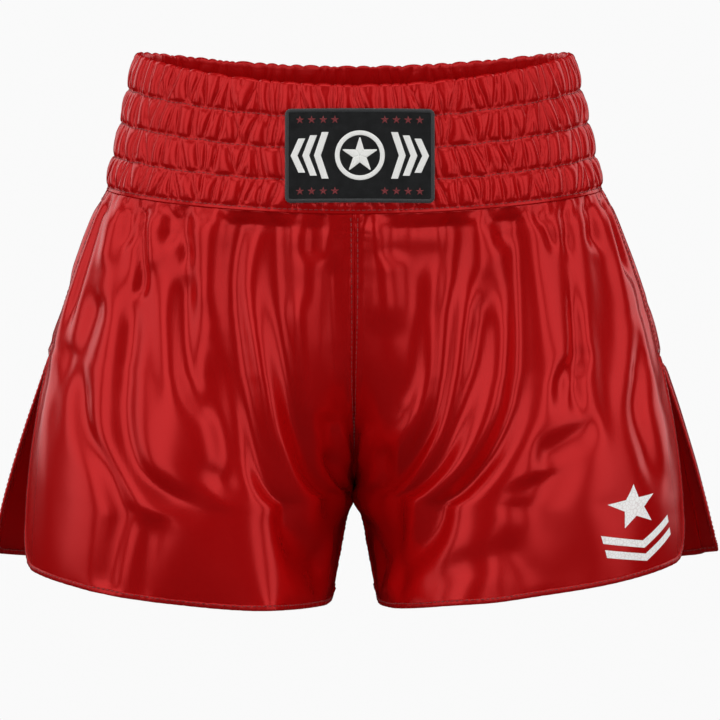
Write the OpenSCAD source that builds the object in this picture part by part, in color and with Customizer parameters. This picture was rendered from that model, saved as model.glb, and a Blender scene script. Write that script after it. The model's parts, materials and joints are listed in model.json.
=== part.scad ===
// Satin boxing shorts with a four-row elastic waistband, open side slits and rounded hem corners.
// Millimetres. +Z is up, the front faces -Y, and the wearer's left leg is on +X.
// The origin is the centre of the waist opening, level with the rim at the wearer's sides.

/* [Waistband] */
// Width of the waist opening, from side to side
rim_w = 283; // [270:1:300]
// Depth of the waist opening, from front to back
rim_d = 196; // [185:1:205]
// Width at the seam where the waistband meets the legs
seam_w = 321; // [310:1:340]
// Depth at the seam where the waistband meets the legs
seam_d = 222; // [212:1:232]
// Height of the waistband at the sides
band_h = 86; // [80:1:92]
// How far the rim dips at the front and the back
rim_dip = 14; // [8:1:18]
// How far the waist seam dips at the front and the back
seam_dip = 8; // [4:1:12]
// Width of each elastic band
elastic_w = 15; // [12:0.5:15]
// Thickness of each elastic band
elastic_t = 1.1; // [0.8:0.1:1.1]
// How far the satin puffs out between two rows of stitching
puff = 2.6; // [2.4:0.1:3.4]

/* [Legs] */
// Height of the crotch below the origin
crotch_drop = 279; // [270:1:288]
// Height of the hem corners below the origin, at the wearer's sides
corner_drop = 325; // [318:1:332]
// Width over both legs at the hem
hem_w = 430; // [420:1:446]
// Gap between the two legs at the hem
leg_gap = 28; // [20:1:36]
// How much lower the hem is at the front and back of a leg than at its side
hem_dip = 6.5; // [4:0.5:16]
// How much lower the hem is at the inseam than at the side
inseam_dip = 28; // [16:1:32]
// How far the seat is fuller than the waist seam
seat_fullness = 14; // [8:1:18]
// How far the thigh is fuller than the waist seam, at the front
thigh_fullness = 4; // [2:1:8]
// Width of the crotch gusset
gusset_w = 8; // [6:1:12]
// Thickness of the satin with its seam allowance
satin_t = 1; // [0.8:0.1:1.2]

/* [Side slits] */
// Height of the top of each slit below the origin
slit_drop = 199; // [190:1:205]
// Half of the slit's opening at its top
slit_half_top = 3.8; // [3.6:0.1:5]
// Half of the slit's opening at the hem
slit_half_hem = 10; // [8:1:14]
// How far the back panel flares out past the front one at the hem
back_flare = 19.5; // [10:0.5:22]
// Radius of the rounded hem corners
corner_r = 24; // [18:1:30]
// Width of the binding on the hem and slit edges
binding_w = 3; // [2:0.5:4]
// Thickness of the binding
binding_t = 1.8; // [1.6:0.1:2.2]

/* [Front patch] */
// Width of the woven patch
patch_w = 96; // [90:1:102]
// Height of the woven patch
patch_h = 60.5; // [56:0.5:63]
// Thickness of the woven patch
patch_t = 1.2; // [1:0.1:1.4]
// How far the patch is sewn off the centre, towards the wearer's left
patch_x = 3.5; // [0:0.5:5]

/* [Drawcord] */
// Width of the flat cord
cord_w = 6; // [4:0.5:6]
// Thickness of the flat cord
cord_t = 1; // [0.8:0.1:1]
// Length of each hanging cord end
cord_end_len = 112; // [90:1:130]
// Distance from the centre front to each buttonhole
cord_exit_x = 17; // [14:1:22]

/* [Hidden] */

FRONT = 1;
BACK = -1;
rows = 4;             // elastic rows in the waistband
around = 48;          // steps around the waistband
clear = 0.3;          // gap on each side of a seam
layer_t = 0.8;        // one layer of waistband satin
pinch = 1.25;         // depth of the inner layer under a row of stitching
pocket = 1.5;         // how far the inner layer stands back from there behind an elastic
elastic_in = 1.15;    // depth of an elastic's inner face
cord_in = 2.45;       // depth of the drawcord's inner face
cord_z = -10.5;       // height of the drawcord at the sides
elastic_drop = 0.003; // how far an elastic lies below its row's middle, as a share of the waistband
thread_d = 0.5;
z_seam = -band_h;
z_crotch = -crotch_drop;
z_corner = -corner_drop;
z_slit = -slit_drop;
z_flap = z_slit - 6;  // height of a flap's top edge at the side
fold_col = 0.5;       // column of the line that a flap swings on: 0 is the inseam, 1 the slit
fold_x = 148;         // how far out that line runs, from the slit's top to the hem
fold_x_seam = 118;    // and at the waist seam
fold_gap = 1.2;       // gap between a panel and its flap
flap_hem = 250;       // hem length beside the slit, for each unit of col
red = "#b01218";
dark_red = "#8c0a10";
black = "#1b1c1e";
white = "#f2f2ee";

// ---- Arithmetic ----
function mix(a, b, t) = a + (b - a) * t;
function clamp(x, lo = 0, hi = 1) = min(max(x, lo), hi);
function unit(v) = v / norm(v);
function flat(lists) = [for (l = lists) each l];

// ---- The waistband's surface ----
// a: angle around the waist, 0 at the wearer's left side and 90 at the front
// t: 0 at the rim, 1 at the waist seam; out: distance outside the stitched surface
function band_pt(a, t, out) =
  let (
    w = mix(rim_w, seam_w, t) / 2,
    d = mix(rim_d, seam_d, t) / 2,
    n = unit([cos(a) / w, -sin(a) / d]),
    z = -band_h * t - mix(rim_dip, seam_dip, t) * pow(sin(a), 2)
  )
  [w * cos(a) + out * n.x, -d * sin(a) + out * n.y, z];

// The same, on the flat facets that the waistband is built from
function band_facet(a, t, out) =
  let (step = 360 / around, k = floor(a / step))
  mix(band_pt(k * step, t, out), band_pt((k + 1) * step, t, out), a / step - k);

// ---- The legs' surface ----
// Outer half-width of the legs at height z; the back panels flare out below the slit's top
function half_w(z, side) =
  let (
    down = drop_share(z),
    open = clamp((z_slit - z) / (z_slit - z_corner)),
    flare = side == BACK ? back_flare * pow(open, 1.6) : 0
  )
  mix(seam_w / 2, hem_w / 2, sin(90 * pow(down, 0.9))) + flare;

// 0 where the legs are one tube at the waist, 1 where they are two tubes, from the crotch down
function parting(z) =
  let (t = clamp(1 - (z - z_crotch) / (z_seam - z_crotch)))
  pow(t, 3) * (4 - 3 * t);

// Where a panel's inner edge lies: beside the gusset, then along the inseam
crotch_x = gusset_w / 2 + clear;
function inner_x(z) =
  z >= z_crotch
    ? mix(clear, crotch_x, pow(parting(z), 2))
    : mix(crotch_x, leg_gap / 2, pow(clamp((z_crotch - z) / (z_crotch - z_corner)), 1.5));

function leg_cx(z, side) =
  z >= z_crotch
    ? parting(z) * (half_w(z, side) / (1 + parting(z)) + crotch_x / 2)
    : (half_w(z, side) + inner_x(z)) / 2;

function leg_depth(z, side) =
  let (down = drop_share(z))
  seam_d / 2 + (side == FRONT ? thigh_fullness * sin(180 * down) : seat_fullness * sin(180 * pow(down, 0.8)));

// Half of the opening at a side seam, which is closed above the slit
function side_gap(z) =
  z > z_slit
    ? clear
    : mix(slit_half_top, slit_half_hem, clamp((z_slit - z) / (z_slit - z_corner)));

function drop_share(z) = clamp((z_seam - z) / (z_seam - z_corner));

// A point on a left panel. col: 0 at the inner edge, 1 at the side. z: height at the side. out: outward
function leg_pt(col, z, out, side) =
  let (
    cx = leg_cx(z, side),
    a = half_w(z, side) - cx,
    b = leg_depth(z, side),
    first = asin(side_gap(z) / b),
    last = min(acos(clamp((inner_x(z) - cx) / a, -1, 1)), 180 - asin(clear / b)),
    hinge_x = mix(fold_x_seam, fold_x, clamp((z_seam - z) / (z_seam - z_flap))),
    fold = acos((hinge_x - cx) / a),
    phi = col < fold_col
      ? mix(last, fold, col / fold_col)
      : mix(fold, first, (col - fold_col) / (1 - fold_col)),
    n = unit([cos(phi) / a, -sin(phi) / b])
  )
  [cx + a * cos(phi) + out * n.x, side * (-b * sin(phi) + out * n.y), z - hang(phi, z)];

// How much lower the row at height z hangs at angle phi than at the side
function hang(phi, z) =
  let (under = clamp((z_crotch - z) / (z_crotch - z_corner)))
  mix(seam_dip, hem_dip, drop_share(z)) * pow(sin(phi), 2) + inseam_dip * under * (1 - cos(phi)) / 2;

// Height of the hem at a column: level, then rounded up into the slit's edge
function hem_z(col) =
  let (s = (1 - col) * flap_hem)
  z_corner + (s < corner_r ? corner_r - sqrt(pow(corner_r, 2) - pow(corner_r - s, 2)) : 0);

// ---- Solids from points ----
// Faces of a tube whose sections have n points each; loop closes it on itself, else both ends are capped
function tube_faces(m, n, loop) = concat(
  [
    for (i = [0:m - (loop ? 1 : 2)], j = [0:n - 1])
      let (k = (j + 1) % n, p = i * n, q = ((i + 1) % m) * n)
      each [[p + j, p + k, q + j], [p + k, q + k, q + j]]
  ],
  loop ? [] : [[for (j = [n - 1:-1:0]) j], [for (j = [0:n - 1]) (m - 1) * n + j]]
);

module tube(sections, loop = false) {
  polyhedron(flat(sections), tube_faces(len(sections), len(sections[0]), loop));
}

// A sheet between two grids of points, outer and inner, as one closed solid.
// Cells from row cut_i and column cut_j on are left out.
module sheet(outer, inner, cut_i, cut_j) {
  m = len(outer);
  n = len(outer[0]);
  back = m * n;
  function has(i, j) = i >= 0 && j >= 0 && i < m - 1 && j < n - 1 && (i < cut_i || j < cut_j);
  function wall(p, q) = [[p, back + p, q], [q, back + p, back + q]];
  polyhedron(
    concat(flat(outer), flat(inner)),
    [
      for (i = [0:m - 2], j = [0:n - 2])
        if (has(i, j))
          let (a = i * n + j, b = a + 1, c = a + n, d = c + 1)
          each concat(
            [[a, b, c], [b, d, c], [back + a, back + c, back + b], [back + b, back + c, back + d]],
            has(i - 1, j) ? [] : wall(a, b),
            has(i, j + 1) ? [] : wall(b, d),
            has(i + 1, j) ? [] : wall(d, c),
            has(i, j - 1) ? [] : wall(c, a)
          )
    ]
  );
}

// A band that runs around the waist with a section of [t, out] points
module waist_loop(section) {
  last = len(section) - 1;
  tube([
    for (i = [0:around - 1])
      [for (k = [last:-1:0]) band_pt(360 * i / around, section[k][0], section[k][1])]
  ], true);
}

// A thread laid along points on the surface; n gives the outward direction at each
module thread(points, outs) {
  r = thread_d / 2;
  tube([
    for (i = [0:len(points) - 1])
      let (
        ahead = points[min(i + 1, len(points) - 1)] - points[max(i - 1, 0)],
        across = unit(cross(ahead, outs[i]))
      )
      [for (a = [0, 240, 120]) points[i] + r * (sin(a) * across + cos(a) * outs[i])]
  ]);
}

// A left part's mirror image, for the wearer's right
module mirrored() {
  mirror([1, 0, 0]) children();
}

module both_legs() {
  children();
  mirrored() children();
}

// ---- Waistband ----
steps = 3;            // profile steps in each elastic row
function arch(f, power) = pow(max(sin(180 * f), 0), power);
function row_f(k) = (k % steps) / steps;

// One satin strip folded over at the rim: the outer layer puffs out, the inner layer lies behind the elastics
module waistband_cover() {
  last = rows * steps;
  outer = [for (k = [0:last]) [k / last, puff * arch(row_f(k), 0.6)]];
  lining = [for (k = [last:-1:0]) [k / last, outer[k][1] - layer_t]];
  inner_out = [for (k = [0:last]) [k / last, -pinch - pocket * arch(row_f(k), 0.5)]];
  inner_in = [for (k = [last:-1:0]) [k / last, inner_out[k][1] - layer_t]];
  fold = [[-0.012, -pinch / 2 - layer_t]];
  down = concat(outer, [for (k = [0:last - 1]) lining[k]], [[0.012, -pinch / 2 - layer_t / 2]],
    [for (k = [1:last]) inner_out[k]], inner_in, fold);
  section = [for (k = [len(down) - 1:-1:0]) down[k]];
  color(red) difference() {
    waist_loop(section);
    for (s = [-1, 1]) cord_passage(s, cord_w + 1.4, cord_t + 1.6);
  }
}

module elastic_band(row) {
  mid = (row - 0.5) / rows + elastic_drop;
  half = elastic_w / 2 / band_h;
  color("#e8e6df") waist_loop([
    [mid + half, -elastic_in], [mid + half, elastic_t - elastic_in],
    [mid - half, elastic_t - elastic_in], [mid - half, -elastic_in]
  ]);
}

// Threads that close the elastic rows, laid in the grooves between them
module channel_stitching() {
  half = thread_d / 2 / band_h;
  color(dark_red) for (row = [1:rows - 1])
    waist_loop([[row / rows + half, 0.15], [row / rows, 0.15 + thread_d], [row / rows - half, 0.15]]);
}

module waist_seam_stitching() {
  half = thread_d / 2 / band_h;
  above_seam = 2;
  t = 1 - above_seam / band_h;
  color(dark_red) waist_loop([[t + half, 0.9], [t, 0.9 + thread_d], [t - half, 0.9]]);
}

// ---- Front patch: bent around the front of the waistband ----
patch_mid_t = 0.54;
patch_mid = band_pt(90, patch_mid_t, puff + 0.5);
patch_lean = atan((seam_d - rim_d) / 2 / (band_h + seam_dip - rim_dip));
patch_r = pow(mix(rim_w, seam_w, patch_mid_t) / 2, 2) / (mix(rim_d, seam_d, patch_mid_t) / 2);

// Cuts children, drawn flat in X and Y, out of a curved layer that starts at height up above the patch's back
module patch_layer(up, thick) {
  translate(patch_mid) rotate([-patch_lean, 0, 0]) intersection() {
    translate([0, patch_r, -patch_h]) difference() {
      cylinder(h = 2 * patch_h, r = patch_r + up + thick, $fn = 200);
      translate([0, 0, -1]) cylinder(h = 2 * patch_h + 2, r = patch_r + up, $fn = 200);
    }
    rotate([90, 0, 0]) translate([patch_x, 0, -30]) linear_extrude(60) children();
  }
}

module star(r) {
  polygon([for (i = [0:9]) (i % 2 == 0 ? r : r * 0.4) * [sin(36 * i), cos(36 * i)]]);
}

border_w = 2.4;

module patch_base() {
  color(black) patch_layer(0, patch_t)
    square([patch_w - 2 * border_w - 0.2, patch_h - 2 * border_w - 0.2], center = true);
}

module patch_border() {
  color("#3a3d40") patch_layer(0, patch_t + 0.5) difference() {
    square([patch_w, patch_h], center = true);
    square([patch_w - 2 * border_w, patch_h - 2 * border_w], center = true);
  }
}

// A ring with a star, between two pairs of chevrons, embroidered in white
module patch_emblem() {
  ring_r = 16;
  color(white) patch_layer(patch_t + 0.05, 0.5) {
    difference() {
      circle(r = ring_r, $fn = 64);
      circle(r = ring_r - 3, $fn = 64);
    }
    star(ring_r - 4.5);
    for (s = [-1, 1], i = [0:2]) scale([s, 1]) translate([20 + 7.5 * i, 0])
      polygon([[0, -15 + 2 * i], [4.5, -15 + 2 * i], [9.5, 0], [4.5, 15 - 2 * i], [0, 15 - 2 * i], [5, 0]]);
  }
}

module patch_stars() {
  color("#7e1a20") patch_layer(patch_t + 0.05, 0.4)
    for (y = [-1, 1], s = [-1, 1], i = [0:3]) translate([s * (16 + 7.5 * i), y * 23]) star(2.6);
}

// ---- Drawcord ----
cord_a = acos(cord_exit_x / (rim_w / 2));    // angle of the left buttonhole
cord_t0 = -cord_z / band_h;
cord_exit = band_facet(cord_a, cord_t0, -pinch - pocket - layer_t);
bend_r = 2.4;         // inside radius of the bend where a cord end turns down
stub = 1.6;           // level run before that bend

// The straight way through the inner layer; s is 1 on the wearer's left
module cord_passage(s, w, t) {
  translate([s * cord_exit.x - w / 2, cord_exit.y - 1.8, cord_exit.z - t / 2]) cube([w, 2.4, t]);
}

// The cord inside the top row, from one buttonhole round the back to the other
module drawcord() {
  half = cord_w / 2 / band_h;
  step = 360 / around;
  inside = [for (k = [0:around]) if (k * step > 180 - cord_a && k * step < 360 + cord_a) k * step];
  color(white) tube([
    for (a = concat([180 - cord_a], inside, [for (k = [1:around]) if (k * step < cord_a) 360 + k * step],
      [360 + cord_a]))
      [
        band_facet(a, cord_t0 - half, -cord_in), band_facet(a, cord_t0 - half, cord_t - cord_in),
        band_facet(a, cord_t0 + half, cord_t - cord_in), band_facet(a, cord_t0 + half, -cord_in)
      ]
  ]);
}

// Oversewn edges of the two buttonholes, on the inner face
module cord_buttonholes() {
  w = cord_w + 1.6;
  t = cord_t + 2.8;
  turn = atan(cord_exit.x * rim_d / pow(rim_w / 2, 2) / 2);
  color(dark_red) for (s = [-1, 1])
    translate([s * cord_exit.x, cord_exit.y + 0.45, cord_exit.z]) rotate([-patch_lean, 0, s * turn])
      rotate([-90, 0, 0]) linear_extrude(0.5) difference() {
        square([w + 2.4, t + 2.4], center = true);
        square([w, t], center = true);
      }
}

// A hanging end: it leaves the buttonhole level, turns over, and falls straight
module left_cord_end() {
  far = bend_r + cord_t + 1;
  color(white) translate([cord_exit.x - cord_w / 2, cord_exit.y, cord_exit.z - cord_t / 2])
    rotate([90, 0, 90]) linear_extrude(cord_w) {
      translate([stub, -bend_r]) intersection() {
        difference() {
          circle(r = bend_r + cord_t, $fn = 48);
          circle(r = bend_r, $fn = 48);
        }
        square(far);
      }
      square([stub, cord_t]);
      translate([stub + bend_r, -cord_end_len]) square([cord_t, cord_end_len - bend_r]);
    }
}

module right_cord_end() {
  mirrored() left_cord_end();
}

// A crimped tip over the cord's last stretch
module left_cord_tip() {
  tip_l = 14;
  wall = 0.7;
  gap = 0.05;
  y = cord_exit.y + stub + bend_r + cord_t / 2;
  color("#c9c9c9") translate([cord_exit.x, y, cord_exit.z - cord_t / 2 - cord_end_len - wall])
    difference() {
      translate([-cord_w / 2 - wall, -cord_t / 2 - wall, 0]) cube([cord_w + 2 * wall, cord_t + 2 * wall, tip_l]);
      translate([-cord_w / 2 - gap, -cord_t / 2 - gap, wall])
        cube([cord_w + 2 * gap, cord_t + 2 * gap, tip_l]);
    }
}

module right_cord_tip() {
  mirrored() left_cord_tip();
}

// ---- Leg panels ----
// Rows crowd together towards the crotch, where the surface turns under
rows_seat = 7;
rows_thigh = 7;
rows_hem = 4;
top_gap = 0.5;        // gap under the waistband
row_list = concat(
  [for (i = [0:rows_seat]) mix(z_seam - top_gap, z_flap + fold_gap / 2, i / rows_seat)],
  [for (i = [1:rows_thigh]) mix(z_flap, z_crotch, 1 - pow(1 - i / rows_thigh, 1.7))],
  [for (i = [1:rows_hem]) mix(z_crotch, z_corner, i / rows_hem)]
);
// Columns crowd together towards the rounded corner
fold_share = fold_gap / 2 / flap_hem;
corner_col = 1 - corner_r / flap_hem;
cols_inner = [for (i = [0:9]) (fold_col - fold_share) * i / 9];
cols_outer = concat(
  [for (i = [0:4]) mix(fold_col + fold_share, corner_col, i / 4)],
  [for (a = [20, 40, 60, 75, 90]) mix(corner_col, 1, sin(a))]
);

module panel(side) {
  grid = [for (z = row_list) [for (c = concat(cols_inner, cols_outer)) [c, z]]];
  leg_sheet(grid, side, rows_seat, len(cols_inner) - 1);
}

// The part of a panel beside the slit, which swings outwards on the fold line
module flap(side) {
  flap_rows = 7;
  grid = [
    for (i = [0:flap_rows])
      [for (c = cols_outer) [c, mix(z_flap - fold_gap / 2, hem_z(c), i / flap_rows)]]
  ];
  leg_sheet(grid, side, len(grid), len(cols_outer));
}

module leg_sheet(grid, side, cut_i, cut_j) {
  function face(out) = [for (row = grid) [for (p = row) leg_pt(p[0], p[1], out, side)]];
  a = face(satin_t / 2);
  b = face(-satin_t / 2);
  if (side == FRONT) sheet(a, b, cut_i, cut_j);
  else sheet(b, a, cut_i, cut_j);
}

// ---- Bindings ----
// The free edges of a panel and of its flap as [col, z] pairs, from the inseam to the top of the slit
edge_hem = [for (c = cols_inner) [c, z_corner]];
edge_slit_top = [[1, z_flap + fold_gap / 2], [1, z_slit - 1]];
slit_steps = 8;
edge_flap = concat(
  [for (c = cols_outer) [c, hem_z(c)]],
  [for (i = [1:slit_steps]) [1, mix(z_corner + corner_r, z_flap - fold_gap / 2, i / slit_steps)]]
);

module binding(edge, side) {
  pts = [for (e = edge) leg_pt(e[0], e[1], 0, side)];
  m = len(pts) - 1;
  tube([
    for (i = [0:m])
      let (
        n = unit(leg_pt(edge[i][0], edge[i][1], 1, side) - pts[i]),
        ahead = pts[min(i + 1, m)] - pts[max(i - 1, 0)],
        away = side * unit(cross(ahead, n)),
        near = 0.8,
        far = near + binding_w,
        h = binding_t / 2
      )
      side == FRONT
        ? [for (q = [[near, -h], [far, -h], [far, h], [near, h]]) pts[i] + q[0] * away + q[1] * n]
        : [for (q = [[near, -h], [near, h], [far, h], [far, -h]]) pts[i] + q[0] * away + q[1] * n]
  ]);
}

module hem_binding(side) {
  binding(edge_hem, side);
  binding(edge_slit_top, side);
}

// ---- Crotch gusset: a narrow strip under the crotch, from front to back ----
module crotch_gusset() {
  steps_each = 8;
  gusset_t = 1;
  reach_up = 46;
  z_list = [for (i = [0:steps_each]) z_crotch + reach_up * pow(1 - i / steps_each, 2)];
  path = concat(
    [for (z = z_list) [z, FRONT]],
    [for (i = [steps_each - 1:-1:0]) [z_list[i], BACK]]
  );
  function strip_edge(p, lift) =
    let (
      z = p[0],
      side = p[1],
      q = leg_pt(0, z, 0, side),
      turn = acos(clamp(parting(z)))
    )
    [q.x - 2 * clear, q.y - side * lift * sin(turn), q.z - lift * cos(turn)];
  color(red) tube([
    for (p = path)
      let (low = strip_edge(p, gusset_t / 2), high = strip_edge(p, -gusset_t / 2))
      [[-low.x, low.y, low.z], low, high, [-high.x, high.y, high.z]]
  ]);
}

// ---- Seam threads, just proud of the satin ----
module seam_thread(col, z_list, side) {
  lift = satin_t / 2 + 0.95;   // centre of the thread, outside the satin's middle
  thread(
    [for (z = z_list) leg_pt(col, z, lift, side)],
    [for (z = z_list) unit(leg_pt(col, z, 1, side) - leg_pt(col, z, 0, side))]
  );
}

module centre_seam_stitching() {
  z_list = [for (i = [0:10]) mix(z_seam - 3, z_crotch + 24, i / 10)];
  color(dark_red) both_legs() for (side = [FRONT, BACK]) seam_thread(0.008, z_list, side);
}

module side_seam_stitching() {
  z_list = [for (i = [0:6]) mix(z_seam - 3, z_slit + 6, i / 6)];
  color(dark_red) both_legs() seam_thread(0.99, z_list, BACK);
}

module inseam_stitching() {
  z_list = [for (i = [0:5]) mix(z_crotch - 6, z_corner + 4, i / 5)];
  color(dark_red) both_legs() seam_thread(0.012, z_list, BACK);
}

// Dense stitches that stop each slit from tearing upwards
module slit_bartacks() {
  bartack = [1, 9, 2];
  z = z_slit + 3;
  color(dark_red) both_legs()
    translate([leg_pt(1, z, 0, FRONT).x + satin_t / 2 + 0.9, 0, z]) cube(bartack, center = true);
}

// ---- Leg print: a star over two chevrons, as thin film on the wearer's left front corner ----
print_x = 178;        // the print's centre, from the middle of the shorts
print_z = -295.5;
print_tilt = 12;      // how far the print's base line climbs towards the side

// Angle around the left front surface at which it is x out from the middle
function leg_angle(x, z) =
  let (cx = leg_cx(z, FRONT))
  acos(clamp((x - cx) / (half_w(z, FRONT) - cx), -1, 1));

// Maps a flat drawing onto the left front surface: its origin is the print's centre
function print_pt(p, out) =
  let (
    x = print_x + p.x * cos(print_tilt) - p.y * sin(print_tilt),
    z = print_z + p.x * sin(print_tilt) + p.y * cos(print_tilt),
    near = z + hem_dip * 0.75,
    level = z + hang(leg_angle(x, near), near),
    phi = leg_angle(x, level),
    a = half_w(level, FRONT) - leg_cx(level, FRONT),
    b = leg_depth(level, FRONT),
    n = unit([cos(phi) / a, -sin(phi) / b])
  )
  [x + out * n.x, -b * sin(phi) + out * n.y, z];

// A film over one convex outline, given anticlockwise
module print_film(outline) {
  film = 0.3;
  lift = satin_t / 2 + 1.5;
  tube([
    [for (p = outline) print_pt(p, lift + film)],
    [for (p = outline) print_pt(p, lift)]
  ]);
}

// A bar bent into a V, in two arms
module print_chevron(y) {
  reach = 23;
  rise = 10;
  bar = 5;
  seam = 0.1;
  print_film([[seam, y], [reach, y + rise], [reach, y + rise + bar], [seam, y + bar]]);
  print_film([[-seam, y], [-seam, y + bar], [-reach, y + rise + bar], [-reach, y + rise]]);
}

// Five kites that meet at the middle
module print_star(r, y) {
  function at(d, angle) = [d * sin(angle), y + d * cos(angle)];
  for (i = [0:4])
    print_film([at(0.4, 72 * i), at(r * 0.42, 72 * i + 34), at(r, 72 * i), at(r * 0.42, 72 * i - 34)]);
}

module leg_print() {
  color(white) {
    print_star(15, 10);
    print_chevron(-18);
    print_chevron(-27);
  }
}

// ---- Care label: a blank folded tape sewn into the waist seam at the centre back ----
label_w = 30;
label_l = 46;
label_t = 1.2;
label_y = band_pt(270, 1, -pinch - layer_t - label_t).y;
label_z = z_seam - seam_dip - 1.5;

module care_label() {
  color(white) translate([-label_w / 2, label_y - label_t, label_z - label_l]) cube([label_w, label_t, label_l]);
}

waistband_cover();
elastic_band(1);  // elastic_band_1
elastic_band(2);  // elastic_band_2
elastic_band(3);  // elastic_band_3
elastic_band(4);  // elastic_band_4
channel_stitching();
waist_seam_stitching();
patch_base();
patch_border();
patch_emblem();
patch_stars();
drawcord();
cord_buttonholes();
left_cord_end();
right_cord_end();
left_cord_tip();
right_cord_tip();
color(red) panel(FRONT);  // left_front_panel
color(red) mirrored() panel(FRONT);  // right_front_panel
color(red) panel(BACK);  // left_back_panel
color(red) mirrored() panel(BACK);  // right_back_panel
color(red) flap(FRONT);  // left_front_flap
color(red) mirrored() flap(FRONT);  // right_front_flap
color(red) flap(BACK);  // left_back_flap
color(red) mirrored() flap(BACK);  // right_back_flap
color(red) hem_binding(FRONT);  // left_front_hem_binding
color(red) mirrored() hem_binding(FRONT);  // right_front_hem_binding
color(red) hem_binding(BACK);  // left_back_hem_binding
color(red) mirrored() hem_binding(BACK);  // right_back_hem_binding
color(red) binding(edge_flap, FRONT);  // left_front_slit_binding
color(red) mirrored() binding(edge_flap, FRONT);  // right_front_slit_binding
color(red) binding(edge_flap, BACK);  // left_back_slit_binding
color(red) mirrored() binding(edge_flap, BACK);  // right_back_slit_binding
crotch_gusset();
centre_seam_stitching();
side_seam_stitching();
inseam_stitching();
slit_bartacks();
leg_print();
care_label();
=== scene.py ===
"""Looks for a pair of satin boxing shorts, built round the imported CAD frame.

Metres. +Z is up, the front faces -Y and the wearer's left leg is on +X.
"""
import json
import math

import bmesh
import bpy
import numpy as np
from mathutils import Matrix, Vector

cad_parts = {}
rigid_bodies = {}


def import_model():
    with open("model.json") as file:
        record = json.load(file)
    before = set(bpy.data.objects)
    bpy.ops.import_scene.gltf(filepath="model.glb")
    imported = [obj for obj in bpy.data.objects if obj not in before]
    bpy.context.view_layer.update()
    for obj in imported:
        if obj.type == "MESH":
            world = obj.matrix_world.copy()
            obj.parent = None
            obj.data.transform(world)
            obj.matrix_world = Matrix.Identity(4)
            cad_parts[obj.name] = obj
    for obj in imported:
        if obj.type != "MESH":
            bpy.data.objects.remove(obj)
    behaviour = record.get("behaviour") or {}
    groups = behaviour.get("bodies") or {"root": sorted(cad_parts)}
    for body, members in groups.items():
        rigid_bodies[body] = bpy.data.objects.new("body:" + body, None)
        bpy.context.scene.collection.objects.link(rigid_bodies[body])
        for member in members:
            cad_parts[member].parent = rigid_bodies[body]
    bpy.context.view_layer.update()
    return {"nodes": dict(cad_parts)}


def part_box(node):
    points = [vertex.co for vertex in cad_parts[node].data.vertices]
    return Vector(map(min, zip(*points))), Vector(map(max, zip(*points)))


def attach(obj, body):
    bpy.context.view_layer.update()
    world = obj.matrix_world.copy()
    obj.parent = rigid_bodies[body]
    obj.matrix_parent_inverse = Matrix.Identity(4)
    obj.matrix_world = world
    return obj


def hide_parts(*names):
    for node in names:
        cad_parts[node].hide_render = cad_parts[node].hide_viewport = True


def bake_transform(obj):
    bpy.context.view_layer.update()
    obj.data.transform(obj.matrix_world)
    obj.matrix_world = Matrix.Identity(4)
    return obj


for leftover in list(bpy.data.objects):
    bpy.data.objects.remove(leftover)

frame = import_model()

MM = 0.001
FRONT, BACK = 1, -1
LEFT, RIGHT = 1, -1
SIDE_NAME = {FRONT: "front", BACK: "back"}
LEG_NAME = {LEFT: "left", RIGHT: "right"}
PANELS = [(leg, side) for leg in (LEFT, RIGHT) for side in (FRONT, BACK)]


# ---- Driving dimensions, from the frame where it has them ----
def top_of(node):
    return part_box(node)[1].z


def bottom_of(node):
    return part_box(node)[0].z


THREAD_PROUD = 1.5 * MM   # the waist seam's thread stands this far outside the seam
Z_SEAM = top_of("left_front_panel")
Z_SLIT = top_of("slit_bartacks")
Z_CROTCH = bottom_of("crotch_gusset")
HEM_HALF_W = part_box("left_front_flap")[1].x
SEAM_HALF_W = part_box("waist_seam_stitching")[1].x - THREAD_PROUD
SEAM_HALF_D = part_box("waist_seam_stitching")[1].y - THREAD_PROUD
RIM_HALF_W = SEAM_HALF_W - 19 * MM
RIM_HALF_D = SEAM_HALF_D - 13 * MM
Z_CORNER = -325 * MM      # height of the hem beside a slit
LEG_GAP = 28 * MM         # gap between the legs at the hem
RIM_DIP = 14 * MM         # the rim is this much lower at the front and back
SEAM_DIP = 8 * MM         # the waist seam is this much lower at the front and back
HEM_DIP = 6.5 * MM        # the hem is this much lower at the front and back of a leg
INSEAM_DIP = 28 * MM      # and this much lower at the inseam
BACK_FLARE = 22 * MM      # how far the back panels flare out past the front ones at the hem
THIGH_FULLNESS = 4 * MM
SEAT_FULLNESS = 14 * MM
SLIT_HALF_TOP = 1.2 * MM
SLIT_HALF_HEM = 8 * MM
CORNER_R = 28 * MM
LEG_LENGTH = Z_SEAM - Z_CORNER
V_SLIT = (Z_SEAM - Z_SLIT) / LEG_LENGTH
V_CROTCH = (Z_SEAM - Z_CROTCH) / LEG_LENGTH


def mix(a, b, t):
    return a + (b - a) * t


def smooth(t):
    t = np.clip(t, 0, 1)
    return t * t * (3 - 2 * t)


def unit(vectors):
    return vectors / np.maximum(np.linalg.norm(vectors, axis=-1, keepdims=True), 1e-12)


def ripple(s, wavelength, seed):
    """An uneven wave along s, about -1 to 1."""
    rng = np.random.default_rng(seed)
    total = 0
    for share, weight in ((1.0, 0.55), (0.62, 0.3), (1.9, 0.25)):
        length = wavelength * share * rng.uniform(0.9, 1.1)
        total = total + weight * np.sin(2 * np.pi * s / length + rng.uniform(0, 2 * np.pi))
    return total


def spline(points, count):
    """count points along a smooth curve through the given ones."""
    points = np.array(points, float)
    ends = [2 * points[0] - points[1]], [2 * points[-1] - points[-2]]
    padded = np.concatenate([ends[0], points, ends[1]])
    t = np.linspace(0, len(points) - 1, count)
    k = np.minimum(t.astype(int), len(points) - 2)
    weights = catmull(t - k)
    return sum(w[:, None] * padded[k + n] for n, w in enumerate(weights))


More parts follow.
